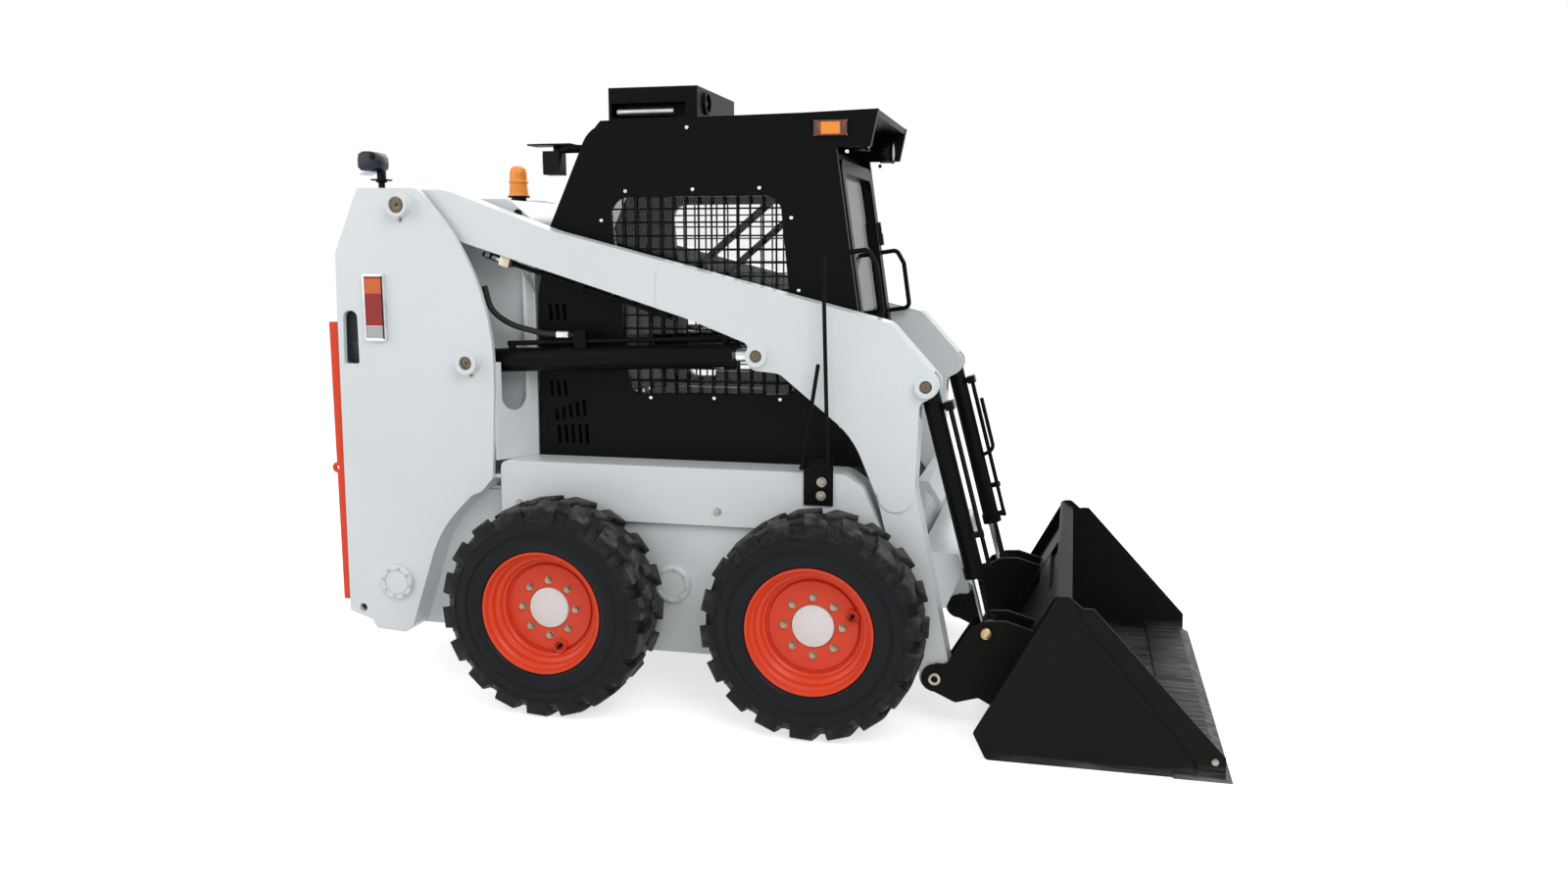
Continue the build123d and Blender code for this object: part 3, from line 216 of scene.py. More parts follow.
FLOOR_HALF, FLOOR_Z = 30, -0.001
corners = [(x * FLOOR_HALF, y * FLOOR_HALF, FLOOR_Z) for x, y in ((-1, -1), (1, -1), (1, 1), (-1, 1))]
floor_mesh = bpy.data.meshes.new("floor")
floor_mesh.from_pydata(corners, [], [(0, 1, 2, 3)])
floor = bpy.data.objects.new("floor", floor_mesh)
bpy.context.collection.objects.link(floor)
ground = bpy.data.materials.new("floor")
ground.use_nodes = True
tree = ground.node_tree
matt = tree.nodes["Principled BSDF"]
matt.inputs["Base Color"].default_value = (0.82, 0.82, 0.82, 1)
matt.inputs["Roughness"].default_value = 0.9
dim = tree.nodes.new("ShaderNodeBsdfDiffuse")
dim.inputs[0].default_value = (0.8, 0.8, 0.8, 1)
glow = tree.nodes.new("ShaderNodeEmission")
glow.inputs[1].default_value = 0.66
both_lights = tree.nodes.new("ShaderNodeAddShader")
tree.links.new(dim.outputs[0], both_lights.inputs[0])
tree.links.new(glow.outputs[0], both_lights.inputs[1])
seen = white_to_the_eye(tree, matt.outputs[0], both_lights.outputs[0], tree.links)
tree.links.new(seen, tree.nodes["Material Output"].inputs[0])
floor_mesh.materials.append(ground)

LAMPS = (
    # name, place, size, watts
    ("key", (3.6, -5.2, 5.2), 4.5, 230),
    ("fill", (-4.6, -3.4, 3.4), 4.0, 75),
    ("top", (0.2, 0.6, 6.5), 5.0, 120),
    ("back", (-1.5, 5.5, 4.0), 4.0, 80),
)
AIM = Vector((0, 0, 0.9))
for name, place, size, watts in LAMPS:
    lamp = bpy.data.objects.new(f"{name}_lamp", bpy.data.lights.new(name, "AREA"))
    bpy.context.collection.objects.link(lamp)
    lamp.data.size, lamp.data.energy = size, watts
    lamp.location = place
    lamp.rotation_euler = (AIM - Vector(place)).to_track_quat("-Z", "Y").to_euler()
    print(name, "lamp:", watts, "W over", size, "m")

# %% [markdown]
# ## Paints
# White paint on thick plate is satin, with a faint orange peel and a little dust low down. Black paint on the
# cab is duller. Folded and cut plate never has a knife edge, so a Bevel node rounds the light on each edge.


# %% White, black and red paint
def paint(name, colour, dull, edge=0.003, dust=0.0, peel=0.00025, coat=0.25, shine=0.5):
    """Sprayed enamel: colour, roughness, dust towards the ground, orange peel."""
    finish = Finish(name, Coat_Weight=coat, Coat_Roughness=0.2, Specular_IOR_Level=shine)
    _, _, z = finish.axes()
    broad = finish.noise(2.3, 4)
    fine = finish.noise(260, 2)
    film = (z.step(0.75, 0.12) * (broad.step(0.35, 0.75) * 0.7 + 0.3) * dust).limit()
    tone = finish.mix(broad.step(0.3, 0.7) * 0.5, colour, tuple(c * 0.94 for c in colour))
    finish.feed("Base Color", finish.mix(film, tone, (0.30, 0.27, 0.23)))
    finish.feed("Roughness", broad * 0.12 + film * 0.3 + (dull - 0.06))
    finish.relief(fine, peel, edge)
    return finish.material


WHITE = (0.715, 0.755, 0.765)
white_paint = paint("white_paint", WHITE, 0.36, dust=0.08)
black_paint = paint("black_paint", (0.0036, 0.0038, 0.0040), 0.36, peel=0.0004, coat=0.0, shine=0.07)
red_paint = paint("red_paint", (0.74, 0.056, 0.015), 0.30, dust=0.04, coat=0.10, shine=0.25)
lamp_black = paint("lamp_black", (0.005, 0.0055, 0.006), 0.40, coat=0.0, shine=0.1)

# %% [markdown]
# Bucket paint wears where earth slides over it. Scratches run along the machine, so the noise that makes them
# is stretched along X, and the wear is strongest on the floor plate and towards the lip.


# %% Worn bucket paint
def worn_paint(name):
    finish = Finish(name, Specular_IOR_Level=0.09)
    x, _, z = finish.axes()
    scrape = finish.noise(9, 6, 0.7, stretch=(0.5, 9, 9))
    broad = finish.noise(3.1, 4)
    inside = z.step(0.030, 0.012) * x.step(0.86, 1.0)
    lip = x.step(1.40, 1.60) * z.step(0.06, 0.02)
    rubbed = ((inside * 0.35 + lip * 0.55) * scrape.step(0.36, 0.66) + inside * broad.step(0.4, 0.7) * 0.25).limit()
    finish.feed("Base Color", finish.mix(rubbed, (0.0062, 0.0060, 0.0052), (0.16, 0.16, 0.158)))
    finish.feed("Metallic", rubbed * 0.7)
    finish.feed("Roughness", 0.46 - rubbed * 0.08 + broad * 0.1)
    finish.relief(finish.noise(160, 3) * 0.7 + rubbed * scrape * 0.6, 0.0005, 0.003)
    return finish.material


bucket_paint = worn_paint("bucket_paint")

# %% [markdown]
# ## Metal
# Chrome rods are mirror bright, zinc plating is yellowish and patchy, and cast iron is nearly matt. All are one
# metal shader, whose tint and roughness change together in soft patches.


# %% Bare metals
def metal(name, colour, rough, patch=0.06, edge=0.001):
    finish = Finish(name, Metallic=1.0)
    tint = finish.noise(28, 3).step(0.35, 0.7)
    finish.feed("Base Color", finish.mix(tint, colour, tuple(c * 0.82 for c in colour)))
    finish.feed("Roughness", tint * patch + rough)
    finish.relief(finish.noise(420, 2), 0.00005, edge)
    return finish.material


rod_chrome = metal("rod_chrome", (0.74, 0.75, 0.77), 0.10, 0.04)
pin_steel = metal("pin_steel", (0.44, 0.40, 0.32), 0.30, 0.16)
bare_aluminium = metal("bare_aluminium", (0.70, 0.71, 0.72), 0.30)
engine_iron = metal("engine_iron", (0.10, 0.105, 0.11), 0.55)


# %% [markdown]
# ## Glass and lenses
# A pane reflects little when seen square on and much at a slant, so the Fresnel node sets how strong its mirror
# is, and the rest is clear. A lens is coloured plastic with fine flutes, and a faint painted glow in its own colour
# stands in for light shining through the unlit plastic.


# %% Glass and lenses
def clear(name, haze):
    """Polished glass: a mirror that is as strong as glass reflects at each slant, and clear otherwise."""
    finish = Finish(name, Metallic=1.0, Roughness=0.03)
    slant = finish.node("ShaderNodeFresnel", {}, {"IOR": 1.5})
    film = finish.noise(2.2, 2, 0.5, stretch=(1, 1, 0.4)).step(0.35, 0.8)
    finish.feed("Base Color", finish.mix(film, (0.52, 0.56, 0.54), (0.36, 0.41, 0.38)))
    finish.feed("Alpha", (slant * 0.62 + film * 0.012 + haze).limit())
    return finish.material


clear_glass = clear("clear_glass", 0.012)


def lens(name, bands, glow=0.25):
    """Moulded lens whose colour changes at stated heights, with fine upright flutes, and a painted glow in its own
    colour that stands in for light through the unlit plastic.
    """
    # Painted light: glow is an emission that brightens the unlit lens from within, in place of light passing through
    # it
    finish = Finish(name, Roughness=0.22, Coat_Weight=0.1, Emission_Strength=glow)
    x, y, z = finish.axes()
    colour = (*bands[0][1], 1)
    for height, above in bands[1:]:
        colour = finish.mix(z.step(height - 0.0015, height + 0.0015), colour, above)
    finish.feed("Base Color", colour)
    # The emission takes the lens colour: a painted glow, not a lit lamp
    finish.feed("Emission Color", colour)
    flutes = ((x + y) * 900.0).math("SINE") * 0.5 + 0.5
    finish.relief(flutes, 0.0004, 0.002)
    return finish.material


AMBER, RED_LENS, FROST = (0.82, 0.26, 0.025), (0.30, 0.006, 0.005), (0.44, 0.43, 0.43)
# The last number of each lens is its painted glow
amber_lens = lens("amber_lens", ((0, AMBER),), 0.10)
CLEAR_TOP_Z = 1.372
TAIL_BANDS = (
    # height where a band starts, its colour
    (0, FROST), (CLEAR_TOP_Z, RED_LENS), (1.492, (0.66, 0.12, 0.012)), (1.546, (0.22, 0.02, 0.008)),
)
tail_lens = lens("tail_lens", TAIL_BANDS, 0.02)

# %% [markdown]
# ## Rubber and vinyl
# Rubber is black where nothing touches it and grey with dust where the lugs meet the ground, so its colour
# follows the distance from the nearest wheel's axle. Vinyl has a fine grain, and a hose shows its woven cover.

# %% Rubber and vinyl
FRONT_HUB, REAR_HUB = (joints[f"wheel_{end}_left_spin"]["pos_m"] for end in ("front", "rear"))
WHEEL_MID_X, HALF_BASE = (FRONT_HUB[0] + REAR_HUB[0]) / 2, (FRONT_HUB[0] - REAR_HUB[0]) / 2
WHEEL_Z = FRONT_HUB[2]


def rubber(name):
    """Tyre rubber: dull black sidewalls, and dusty grey where the lugs meet the ground."""
    finish = Finish(name, Specular_IOR_Level=0.16)
    x, _, z = finish.axes()
    along = (x - WHEEL_MID_X).math("ABSOLUTE") - HALF_BASE
    radius = (along * along + (z - WHEEL_Z) ** 2).math("SQRT")
    mottle = finish.noise(22, 5, 0.65)
    worn = (radius.step(0.366, 0.380) * mottle.step(0.34, 0.62)).limit()
    dusty = radius.step(0.30, 0.37) * mottle.step(0.45, 0.8) * 0.4
    tone = finish.mix(worn * 0.75 + dusty, (0.0042, 0.0050, 0.0066), (0.095, 0.090, 0.080))
    finish.feed("Base Color", tone)
    finish.feed("Roughness", 0.46 + worn * 0.35)
    finish.relief(finish.noise(240, 3), 0.0002, 0.001)
    return finish.material


tyre_rubber = rubber("tyre_rubber")


def vinyl(name):
    finish = Finish(name, Roughness=0.5)
    grain = finish.node("ShaderNodeTexVoronoi", {}, {"Vector": finish.place, "Scale": 420.0})
    finish.feed("Base Color", finish.mix(finish.noise(7), (0.016, 0.016, 0.018), (0.03, 0.03, 0.032)))
    finish.relief(grain, 0.0006)
    return finish.material


seat_vinyl = vinyl("seat_vinyl")


def hose(name):
    """Hose cover: matt black rubber with the faint weave of the cloth it was cured in."""
    finish = Finish(name, Roughness=0.55, Specular_IOR_Level=0.3)
    x, y, z = finish.axes()
    weave = ((x + z) * 2400.0).math("SINE") * ((x - z + y) * 2400.0).math("SINE")
    finish.feed("Base Color", finish.mix(finish.noise(30), (0.009, 0.009, 0.010), (0.022, 0.021, 0.020)))
    finish.relief(weave * 0.5 + 0.5, 0.0003)
    return finish.material


hose_rubber = hose("hose_rubber")

# %% [markdown]
# ## A finish on each solid
# Each solid's record names the slot of its material. One table turns slots into the finishes made above.

# %% Finish for each solid
FINISHES = {
    "white_paint": white_paint, "black_paint": black_paint, "red_paint": red_paint,
    "bucket_paint": bucket_paint, "tyre_rubber": tyre_rubber, "rod_chrome": rod_chrome,
    "pin_steel": pin_steel, "bare_aluminium": bare_aluminium, "clear_glass": clear_glass,
    "amber_lens": amber_lens, "tail_lens": tail_lens, "lamp_black": lamp_black,
    "seat_vinyl": seat_vinyl, "engine_iron": engine_iron, "hose_rubber": hose_rubber,
}
slot_of = {part["node"]: part["material_slot"] for part in frame["record"]["subparts"]}
for name, solid in nodes.items():
    solid.data.materials.clear()
    solid.data.materials.append(FINISHES[slot_of[name]])
print("solids with a finish:", len(nodes))

# %% [markdown]
# ## Making and placing pieces
# Every piece is a plain mesh in the machine's own frame. A few helpers cover most of them. One names a mesh and
# hangs it on its body. Others turn a section round an axle, or give a flat outline its thickness. Most fittings
# sit on both sides alike, so they are made for the left side and mirrored.


# %% Helpers for meshes
def piece(name, mesh, material, body, stands_for=(), smooth=35):
    """A finished object from a mesh: material, shading and body."""
    made = bpy.data.objects.new(name, mesh)
    bpy.context.collection.objects.link(made)
    mesh.materials.clear()
    mesh.materials.append(material)
    mesh.shade_smooth()
    mesh.set_sharp_from_angle(angle=radians(smooth))
    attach(made, body)
    if stands_for:
        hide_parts(*stands_for)
    print(name, "on", body, "faces:", len(mesh.polygons))
    return made


def mesh_of(bm):
    """Mesh from a bmesh, with doubles merged and faces turned outwards."""
    bmesh.ops.remove_doubles(bm, verts=bm.verts, dist=1e-6)
    bmesh.ops.recalc_face_normals(bm, faces=bm.faces)
    mesh = bpy.data.meshes.new("part")
    bm.to_mesh(mesh)
    bm.free()
    return mesh


def again(mesh):
    """A bmesh holding a mesh."""
    bm = bmesh.new()
    bm.from_mesh(mesh)
    return bm


def turned(rows, steps=72, closed=True):
    """A closed (radius, y) section turned about the Y axis."""
    bm = bmesh.new()
    rings = []
    for radius, y in rows:
        if radius < 1e-6:
            rings.append([bm.verts.new((0, y, 0))] * steps)
        else:
            turn = [2 * pi * k / steps for k in range(steps)]
            rings.append([bm.verts.new((radius * cos(a), y, radius * sin(a))) for a in turn])
    for first, second in zip(rings, rings[1:] + rings[:1] if closed else rings[1:]):
        for k in range(steps):
            corners = [first[k], first[(k + 1) % steps], second[(k + 1) % steps], second[k]]
            corners = list(dict.fromkeys(corners))
            if len(corners) > 2:
                bm.faces.new(corners)
    return bm


def placed(bm, place=(0, 0, 0), turn=0, axis="Y"):
    """The bmesh turned about one axis through the origin by degrees, then shifted to its place."""
    spot = Matrix.Translation(place) @ Matrix.Rotation(radians(turn), 4, axis)
    bmesh.ops.transform(bm, matrix=spot, verts=bm.verts)
    return bm


def sides(bm, both=True):
    """Mesh of a bmesh made for the left side, on both sides or on the right one alone."""
    left = mesh_of(bm)
    bm = again(left)
    bmesh.ops.scale(bm, vec=(1, -1, 1), verts=bm.verts)
    bmesh.ops.reverse_faces(bm, faces=bm.faces)
    if both:
        bm.from_mesh(left)
    mesh = bpy.data.meshes.new("sides")
    bm.to_mesh(mesh)
    bm.free()
    return mesh


def joined(meshes):
    """One mesh from several."""
    bm = bmesh.new()
    for mesh in meshes:
        bm.from_mesh(mesh)
    out = bpy.data.meshes.new("joined")
    bm.to_mesh(out)
    bm.free()
    return out


def rounded(low, high, radius, steps=6):
    """Corner points of a rectangle with rounded corners, from its low and high (u, v) corners."""
    middles = [(high[0] - radius, high[1] - radius), (low[0] + radius, high[1] - radius)]
    middles += [(low[0] + radius, low[1] + radius), (high[0] - radius, low[1] + radius)]
    points = []
    for k, (u, v) in enumerate(middles):
        for step in range(steps + 1):
            turn = (k + step / steps) * pi / 2
            points.append((u + radius * cos(turn), v + radius * sin(turn)))
    return points


def sheet_metal(loop, low, high, hole=None, soft=0.0):
    """Prism along Y on an outline of (x, z) points, with a hole of as many points, and softened edges."""
    bm = bmesh.new()
    loops = [loop, hole] if hole else [loop]
    rows = [[bm.verts.new((x, y, z)) for x, z in points] for points in loops for y in (low, high)]
    count = len(loop)
    pairs = ((0, 1), (1, 3), (3, 2), (2, 0)) if hole else ((0, 1),)
    for a, b in pairs:
        for k in range(count):
            bm.faces.new((rows[a][k], rows[a][(k + 1) % count], rows[b][(k + 1) % count], rows[b][k]))
    if not hole:
        bm.faces.new(rows[0])
        bm.faces.new(rows[1])
    bmesh.ops.recalc_face_normals(bm, faces=bm.faces)
    if soft:
        rims = [e for e in bm.edges if e.calc_face_angle(0) > 1.2]
        bmesh.ops.bevel(bm, geom=rims, offset=soft, segments=2, affect="EDGES", profile=0.5)
    return bm


# %% [markdown]
# ## Rings and fields of equal parts
# Lugs, nuts and bolts repeat round an axle, and screws repeat over a plate. Two node trees serve them. The first
# copies a part round the Y axis, and the second puts a copy on each point of a table. Both end as plain mesh.


# %% Node trees for repeats
def node_tree(name, sockets, kinds, fixed, wires):
    """Geometry node tree from its inputs, its nodes, their settings and the wires between them."""
    tree = bpy.data.node_groups.new(name, "GeometryNodeTree")
    for label, kind in (("Geometry", "Geometry"), *sockets):
        tree.interface.new_socket(label, in_out="INPUT", socket_type=f"NodeSocket{kind}")
    tree.interface.new_socket("Geometry", in_out="OUTPUT", socket_type="NodeSocketGeometry")
    common = {"start": "NodeGroupInput", "end": "NodeGroupOutput", "real": "GeometryNodeRealizeInstances"}
    common |= {"coat": "GeometryNodeSetMaterial", "copies": "GeometryNodeInstanceOnPoints"}
    made = {key: tree.nodes.new(kind) for key, kind in (common | kinds).items()}
    for key, setting, value in fixed:
        if hasattr(made[key], str(setting)):
            setattr(made[key], setting, value)
        else:
            made[key].inputs[setting].default_value = value
    last = (("copies", 0, "real", 0), ("real", 0, "coat", "Geometry"), ("start", "Material", "coat", "Material"))
    for source, out, target, into in (*wires, *last, ("coat", 0, "end", 0)):
        tree.links.new(made[source].outputs[out], made[target].inputs[into])
    print("node tree:", name, "nodes:", len(made))
    return tree


RING = node_tree(
    "ring_of_parts",
    (("Count", "Int"), ("Phase", "Float"), ("Material", "Material")),
    {
        "line": "GeometryNodeMeshLine", "index": "GeometryNodeInputIndex", "step": "ShaderNodeMath",
        "turn": "ShaderNodeMath", "shift": "ShaderNodeMath", "spin": "ShaderNodeCombineXYZ",
    },
    (
        ("line", "Offset", (0, 0, 0)), ("step", "operation", "DIVIDE"), ("step", 0, 2 * pi),
        ("turn", "operation", "MULTIPLY"), ("shift", "operation", "ADD"),
    ),
    (
        ("start", "Count", "line", "Count"), ("start", "Count", "step", 1), ("index", 0, "turn", 0),
        ("step", 0, "turn", 1), ("turn", 0, "shift", 0), ("start", "Phase", "shift", 1),
        ("shift", 0, "spin", "Y"), ("line", 0, "copies", "Points"), ("start", "Geometry", "copies", "Instance"),
        ("spin", 0, "copies", "Rotation"),
    ),
)
FIELD = node_tree(
    "part_on_each_point",
    (("Part", "Object"), ("Material", "Material")),
    {"part": "GeometryNodeObjectInfo"},
    (),
    (
        ("start", "Geometry", "copies", "Points"), ("start", "Part", "part", "Object"),
        ("part", "Geometry", "copies", "Instance"),
    ),
)


def grown(mesh, tree, **values):
    """The plain mesh that a node tree makes from a mesh and its named inputs."""
    holder = bpy.data.objects.new("holder", mesh)
    bpy.context.collection.objects.link(holder)
    nest = holder.modifiers.new("nest", "NODES")
    nest.node_group = tree
    ids = {item.name: item.identifier for item in tree.interface.items_tree if item.in_out == "INPUT"}
    for label, value in values.items():
        nest[ids[label]] = value
    graph = bpy.context.evaluated_depsgraph_get()
    result = bpy.data.meshes.new_from_object(holder.evaluated_get(graph))
    bpy.data.objects.remove(holder)
    return result


def ring(part, count, phase, material):
    """Copies of a bmesh part round the Y axis, the first turned by phase degrees."""
    return grown(mesh_of(part), RING, Count=count, Phase=radians(phase), Material=material)


def field(part, points, material):
    """A copy of a bmesh part on each (x, y, z) point."""
    spots = bpy.data.meshes.new("spots")
    spots.from_pydata(points, [], [])
    source = bpy.data.objects.new("source", mesh_of(part))
    result = grown(spots, FIELD, Part=source, Material=material)
    bpy.data.objects.remove(source)
    return result


# %% [markdown]
# ## Wheels
# An off-road tyre has a smooth casing with two ridges on its sidewall, and a lug every twenty degrees on each
# side. A lug starts near the middle of the tread, leans back, widens, then folds over the shoulder. Each is
# built from a table of stations across the tread, and the ring tree repeats it.

# %% Tyre casing and lugs
WHEELS = [f"{end}_{side}" for end in ("front", "rear") for side in ("left", "right")]
TYRE_MID_Y = (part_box("tyre_front_left")[1][1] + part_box("tyre_front_left")[0][1]) / 2
CASING = [
    # radius, y from the middle of the tread, outer half
    (0.2225, 0.1170), (0.2255, 0.1230), (0.2330, 0.1280), (0.2560, 0.1310), (0.2780, 0.1298), (0.2810, 0.1345),
    (0.2850, 0.1345), (0.2880, 0.1300), (0.3120, 0.1278), (0.3205, 0.1270), (0.3235, 0.1310), (0.3275, 0.1300),
    (0.3310, 0.1240), (0.3420, 0.1180), (0.3575, 0.1040), (0.3660, 0.0860),
    (0.3695, 0.0560), (0.3705, 0.0),
]
LUG = [
    # y, lean along the tread, half width, radius of the top, radius of the foot
    (0.0010, -0.020, 0.0185, 0.3835, 0.360), (0.0220, -0.014, 0.0215, 0.3842, 0.360),
    (0.0480, -0.004, 0.0235, 0.3845, 0.360), (0.0640, 0.004, 0.0280, 0.3843, 0.360),
    (0.0800, 0.013, 0.0345, 0.3838, 0.355), (0.1000, 0.022, 0.0385, 0.3825, 0.347),
    (0.1165, 0.026, 0.0395, 0.3790, 0.336), (0.1205, 0.027, 0.0390, 0.3740, 0.331),
    (0.1280, 0.029, 0.0370, 0.3370, 0.315),
]
LUG_COUNT = 18
TREAD_R = 0.385


def lug_part(side, stations):
    """One lug, its sides sloping out to its foot, on the stated side of the tread."""
    bm = bmesh.new()
    loops = []
    for y, lean, half, top, foot in stations:
        corners = []
        for over, radius in ((-1.22, foot), (-1, top), (1, top), (1.22, foot)):
            angle = (lean + over * half) / TREAD_R
            corners.append(bm.verts.new((radius * sin(angle), side * y, radius * cos(angle))))
        loops.append(corners)
    for first, second in zip(loops, loops[1:]):
        for k in range(4):
            bm.faces.new((first[k], first[(k + 1) % 4], second[(k + 1) % 4], second[k]))
    bm.faces.new(loops[0])
    bm.faces.new(loops[-1])
    bmesh.ops.recalc_face_normals(bm, faces=bm.faces)
    crests = [e for e in bm.edges if sum(hypot(v.co.x, v.co.z) for v in e.verts) > 0.70]
    bmesh.ops.bevel(bm, geom=crests, offset=0.0016, segments=1, affect="EDGES", profile=0.6)
    return bm


# Between two lugs a small block stands on each shoulder
BLOCK = [
    (0.0960, 0.0, 0.0060, 0.3640, 0.350), (0.1100, 0.006, 0.0065, 0.3570, 0.340),
    (0.1215, 0.009, 0.0050, 0.3420, 0.325),
]
section = CASING + [(radius, -y) for radius, y in reversed(CASING[:-1])]
tread = [mesh_of(turned(section, 96))]
for side, phase in ((1, 0), (-1, 180 / LUG_COUNT)):
    tread.append(ring(lug_part(side, LUG), LUG_COUNT, phase, tyre_rubber))
    tread.append(ring(lug_part(side, BLOCK), LUG_COUNT, phase + 15, tyre_rubber))
wheel_rubber = joined(tread)


def at_wheel(wheel, mesh, name, material, stands_for=()):
    """A piece of one wheel, from a mesh made round the origin with its outer face towards +Y."""
    centre = joints[f"wheel_{wheel}_spin"]["pos_m"]
    bm = placed(again(mesh), (centre[0], TYRE_MID_Y, centre[2]))
    made = sides(bm, both=False) if wheel.endswith("right") else mesh_of(bm)
    return piece(f"{name}_{wheel}", made, material, f"wheel_{wheel}", stands_for)


for wheel in WHEELS:
    at_wheel(wheel, wheel_rubber, "tread", tyre_rubber, [f"tyre_{wheel}"])

# %% [markdown]
# The rim is pressed from sheet: a rolled flange, a gutter that steps inwards, and a flat disc far behind it. A
# pale cap covers the hub, and eight plated nuts hold the disc. A valve stands near the rim's edge.

# %% Rims, hub caps and nuts
RIM = [
    # radius, y from the middle of the tyre, outer face first, then back inside
    (0.2215, 0.1080), (0.2215, 0.1205), (0.2190, 0.1222), (0.2140, 0.1222), (0.2118, 0.1200), (0.2085, 0.1100),
    (0.2035, 0.1000), (0.1980, 0.0965), (0.1955, 0.0920), (0.1945, 0.0790), (0.1930, 0.0740), (0.1860, 0.0690),
    (0.1820, 0.0675), (0.1790, 0.0640), (0.1775, 0.0540), (0.1735, 0.0485), (0.1685, 0.0460), (0.1665, 0.0420),
    (0.1660, 0.0300), (0.1600, 0.0280), (0.1588, 0.0340), (0.1560, 0.0375), (0.1520, 0.0385), (0.0760, 0.0385),
    (0.0760, 0.0250), (0.1450, 0.0250), (0.1700, 0.0250), (0.1960, 0.0600), (0.2000, -0.1000), (0.2215, -0.1100),
    (0.2215, -0.1200), (0.2050, -0.1200), (0.1960, -0.1000), (0.1960, 0.0300), (0.2060, 0.0700),
]
CAP = [(0.0, 0.0410), (0.0022, 0.0410), (0.0024, 0.0440), (0.0690, 0.0440), (0.0700, 0.0434), (0.0710, 0.0440)]
CAP += [(0.0728, 0.0430), (0.0735, 0.0395), (0.0755, 0.0300), (0.0, 0.0300)]
NUT_CIRCLE = 0.1016


def stud(face, flat=0.0105, height=0.013, circle=0.0):
    """A plated hexagon nut on its washer with the stud's end showing, facing +Y."""
    bm = bmesh.new()
    layers = (
        # radius, foot, top, corners, share of the radius that the top keeps
        (flat * 1.32, 0, 0.002, 24, 1), (flat * 1.12, 0.003, height, 6, 0.985),
        (flat * 0.55, height, height + 0.004, 14, 0.9),
    )
    for radius, low, high, count, kept in layers:
        form = {"segments": count, "radius1": radius, "radius2": radius * kept, "depth": high - low}
        made = bmesh.ops.create_cone(bm, cap_ends=True, **form)
        spot = Matrix.Translation((0, face + (low + high) / 2, circle)) @ Matrix.Rotation(-pi / 2, 4, "X")
        bmesh.ops.transform(bm, matrix=spot, verts=made["verts"])
    edges = [e for e in bm.edges if e.calc_face_angle(0) > 0.9]
    bmesh.ops.bevel(bm, geom=edges, offset=0.0007, segments=1, affect="EDGES")
    return bm


def screw(face, radius=0.0075):
    """A low round head with a hexagon socket, facing +Y."""
    rows = [(0, face - 0.001), (radius, face - 0.001), (radius, face + 0.0015), (radius * 0.82, face + 0.0038)]
    rows += [(radius * 0.5, face + 0.0048), (radius * 0.46, face + 0.0028), (0, face + 0.0026)]
    return turned(rows, 18, closed=False)


hub_white = paint("hub_white", (0.78, 0.765, 0.745), 0.5, edge=0.0005)
dish, cap = mesh_of(turned(RIM, 96)), mesh_of(turned(CAP, 64))
nut_zinc = metal("nut_zinc", (0.36, 0.31, 0.22), 0.28, 0.16)
nuts = ring(stud(0.0385, circle=NUT_CIRCLE), 8, 0, nut_zinc)
VALVE = [(0, 0.036), (0.0065, 0.036), (0.0065, 0.052), (0.0048, 0.054), (0.0048, 0.062), (0.003, 0.064), (0, 0.064)]
CUP = [(0.0255, 0.030), (0.0250, 0.050), (0.0225, 0.054), (0.0185, 0.053), (0.0150, 0.046), (0.0140, 0.037)]
CUP.append((0.0140, 0.030))
VALVE_R = 0.143
VALVE_TURNS = {"front": 17.7, "rear": -74}
for wheel in WHEELS:
    at_wheel(wheel, dish, "dish", red_paint, [f"rim_{wheel}"])
    at_wheel(wheel, cap, "hub_cap", hub_white)
    turn = radians(VALVE_TURNS[wheel.split("_")[0]])
    spot = (VALVE_R * cos(turn), 0, VALVE_R * sin(turn))
    at_wheel(wheel, mesh_of(placed(turned(CUP, 40), spot)), "valve_cup", red_paint)
    at_wheel(wheel, mesh_of(placed(turned(VALVE, 20, closed=False), spot)), "valve", lamp_black)
    at_wheel(wheel, nuts, "wheel_nuts", nut_zinc)

# %% [markdown]
# ## Fasteners on the body
# Round lids are held by rings of small bolts, the cab's panels by button screws, and the side boxes by large
# plated bolts. Each table gives the places on the left side, and the field tree does the rest.

# %% Bolts and screws
ARM_PIN, LIFT_BASE = joints["arm_lift"]["pos_m"], joints["lift_barrels_swing"]["pos_m"]
TILT_TOP, COUPLER = joints["tilt_barrels_swing"]["pos_m"], joints["bucket_tilt"]["pos_m"]
TOWER_FACE, FENDER_FACE, CAB_FACE, BUCKET_FACE = 0.548, 0.525, 0.370, 0.800
LIDS = (
    # x, face, z, radius of the bolt ring
    (-1.3865, TOWER_FACE + 0.006, 0.395, 0.056), (-0.2965, 0.506, 0.443, 0.058),
)
LID = [
    # share of the bolt ring's radius, y from the plate
    (0, 0.0085), (0.80, 0.0085), (0.83, 0.0060), (0.86, 0.0060), (0.88, 0.0105), (1.10, 0.0105),
    (1.17, 0.0070), (1.18, 0), (0, 0),
]
for number, (x, face, z, radius) in enumerate(LIDS):
    lid = turned([(share * radius, y) for share, y in LID], 64, closed=False)
    piece(f"round_lid_{number}", sides(placed(lid, (x, face, z))), white_paint, "machine", smooth=25)
    bolts = again(ring(stud(0.0105, 0.0048, 0.004, circle=radius), 8, 11, white_paint))
    piece(f"cover_bolts_{number}", sides(placed(bolts, (x, face, z))), white_paint, "machine")

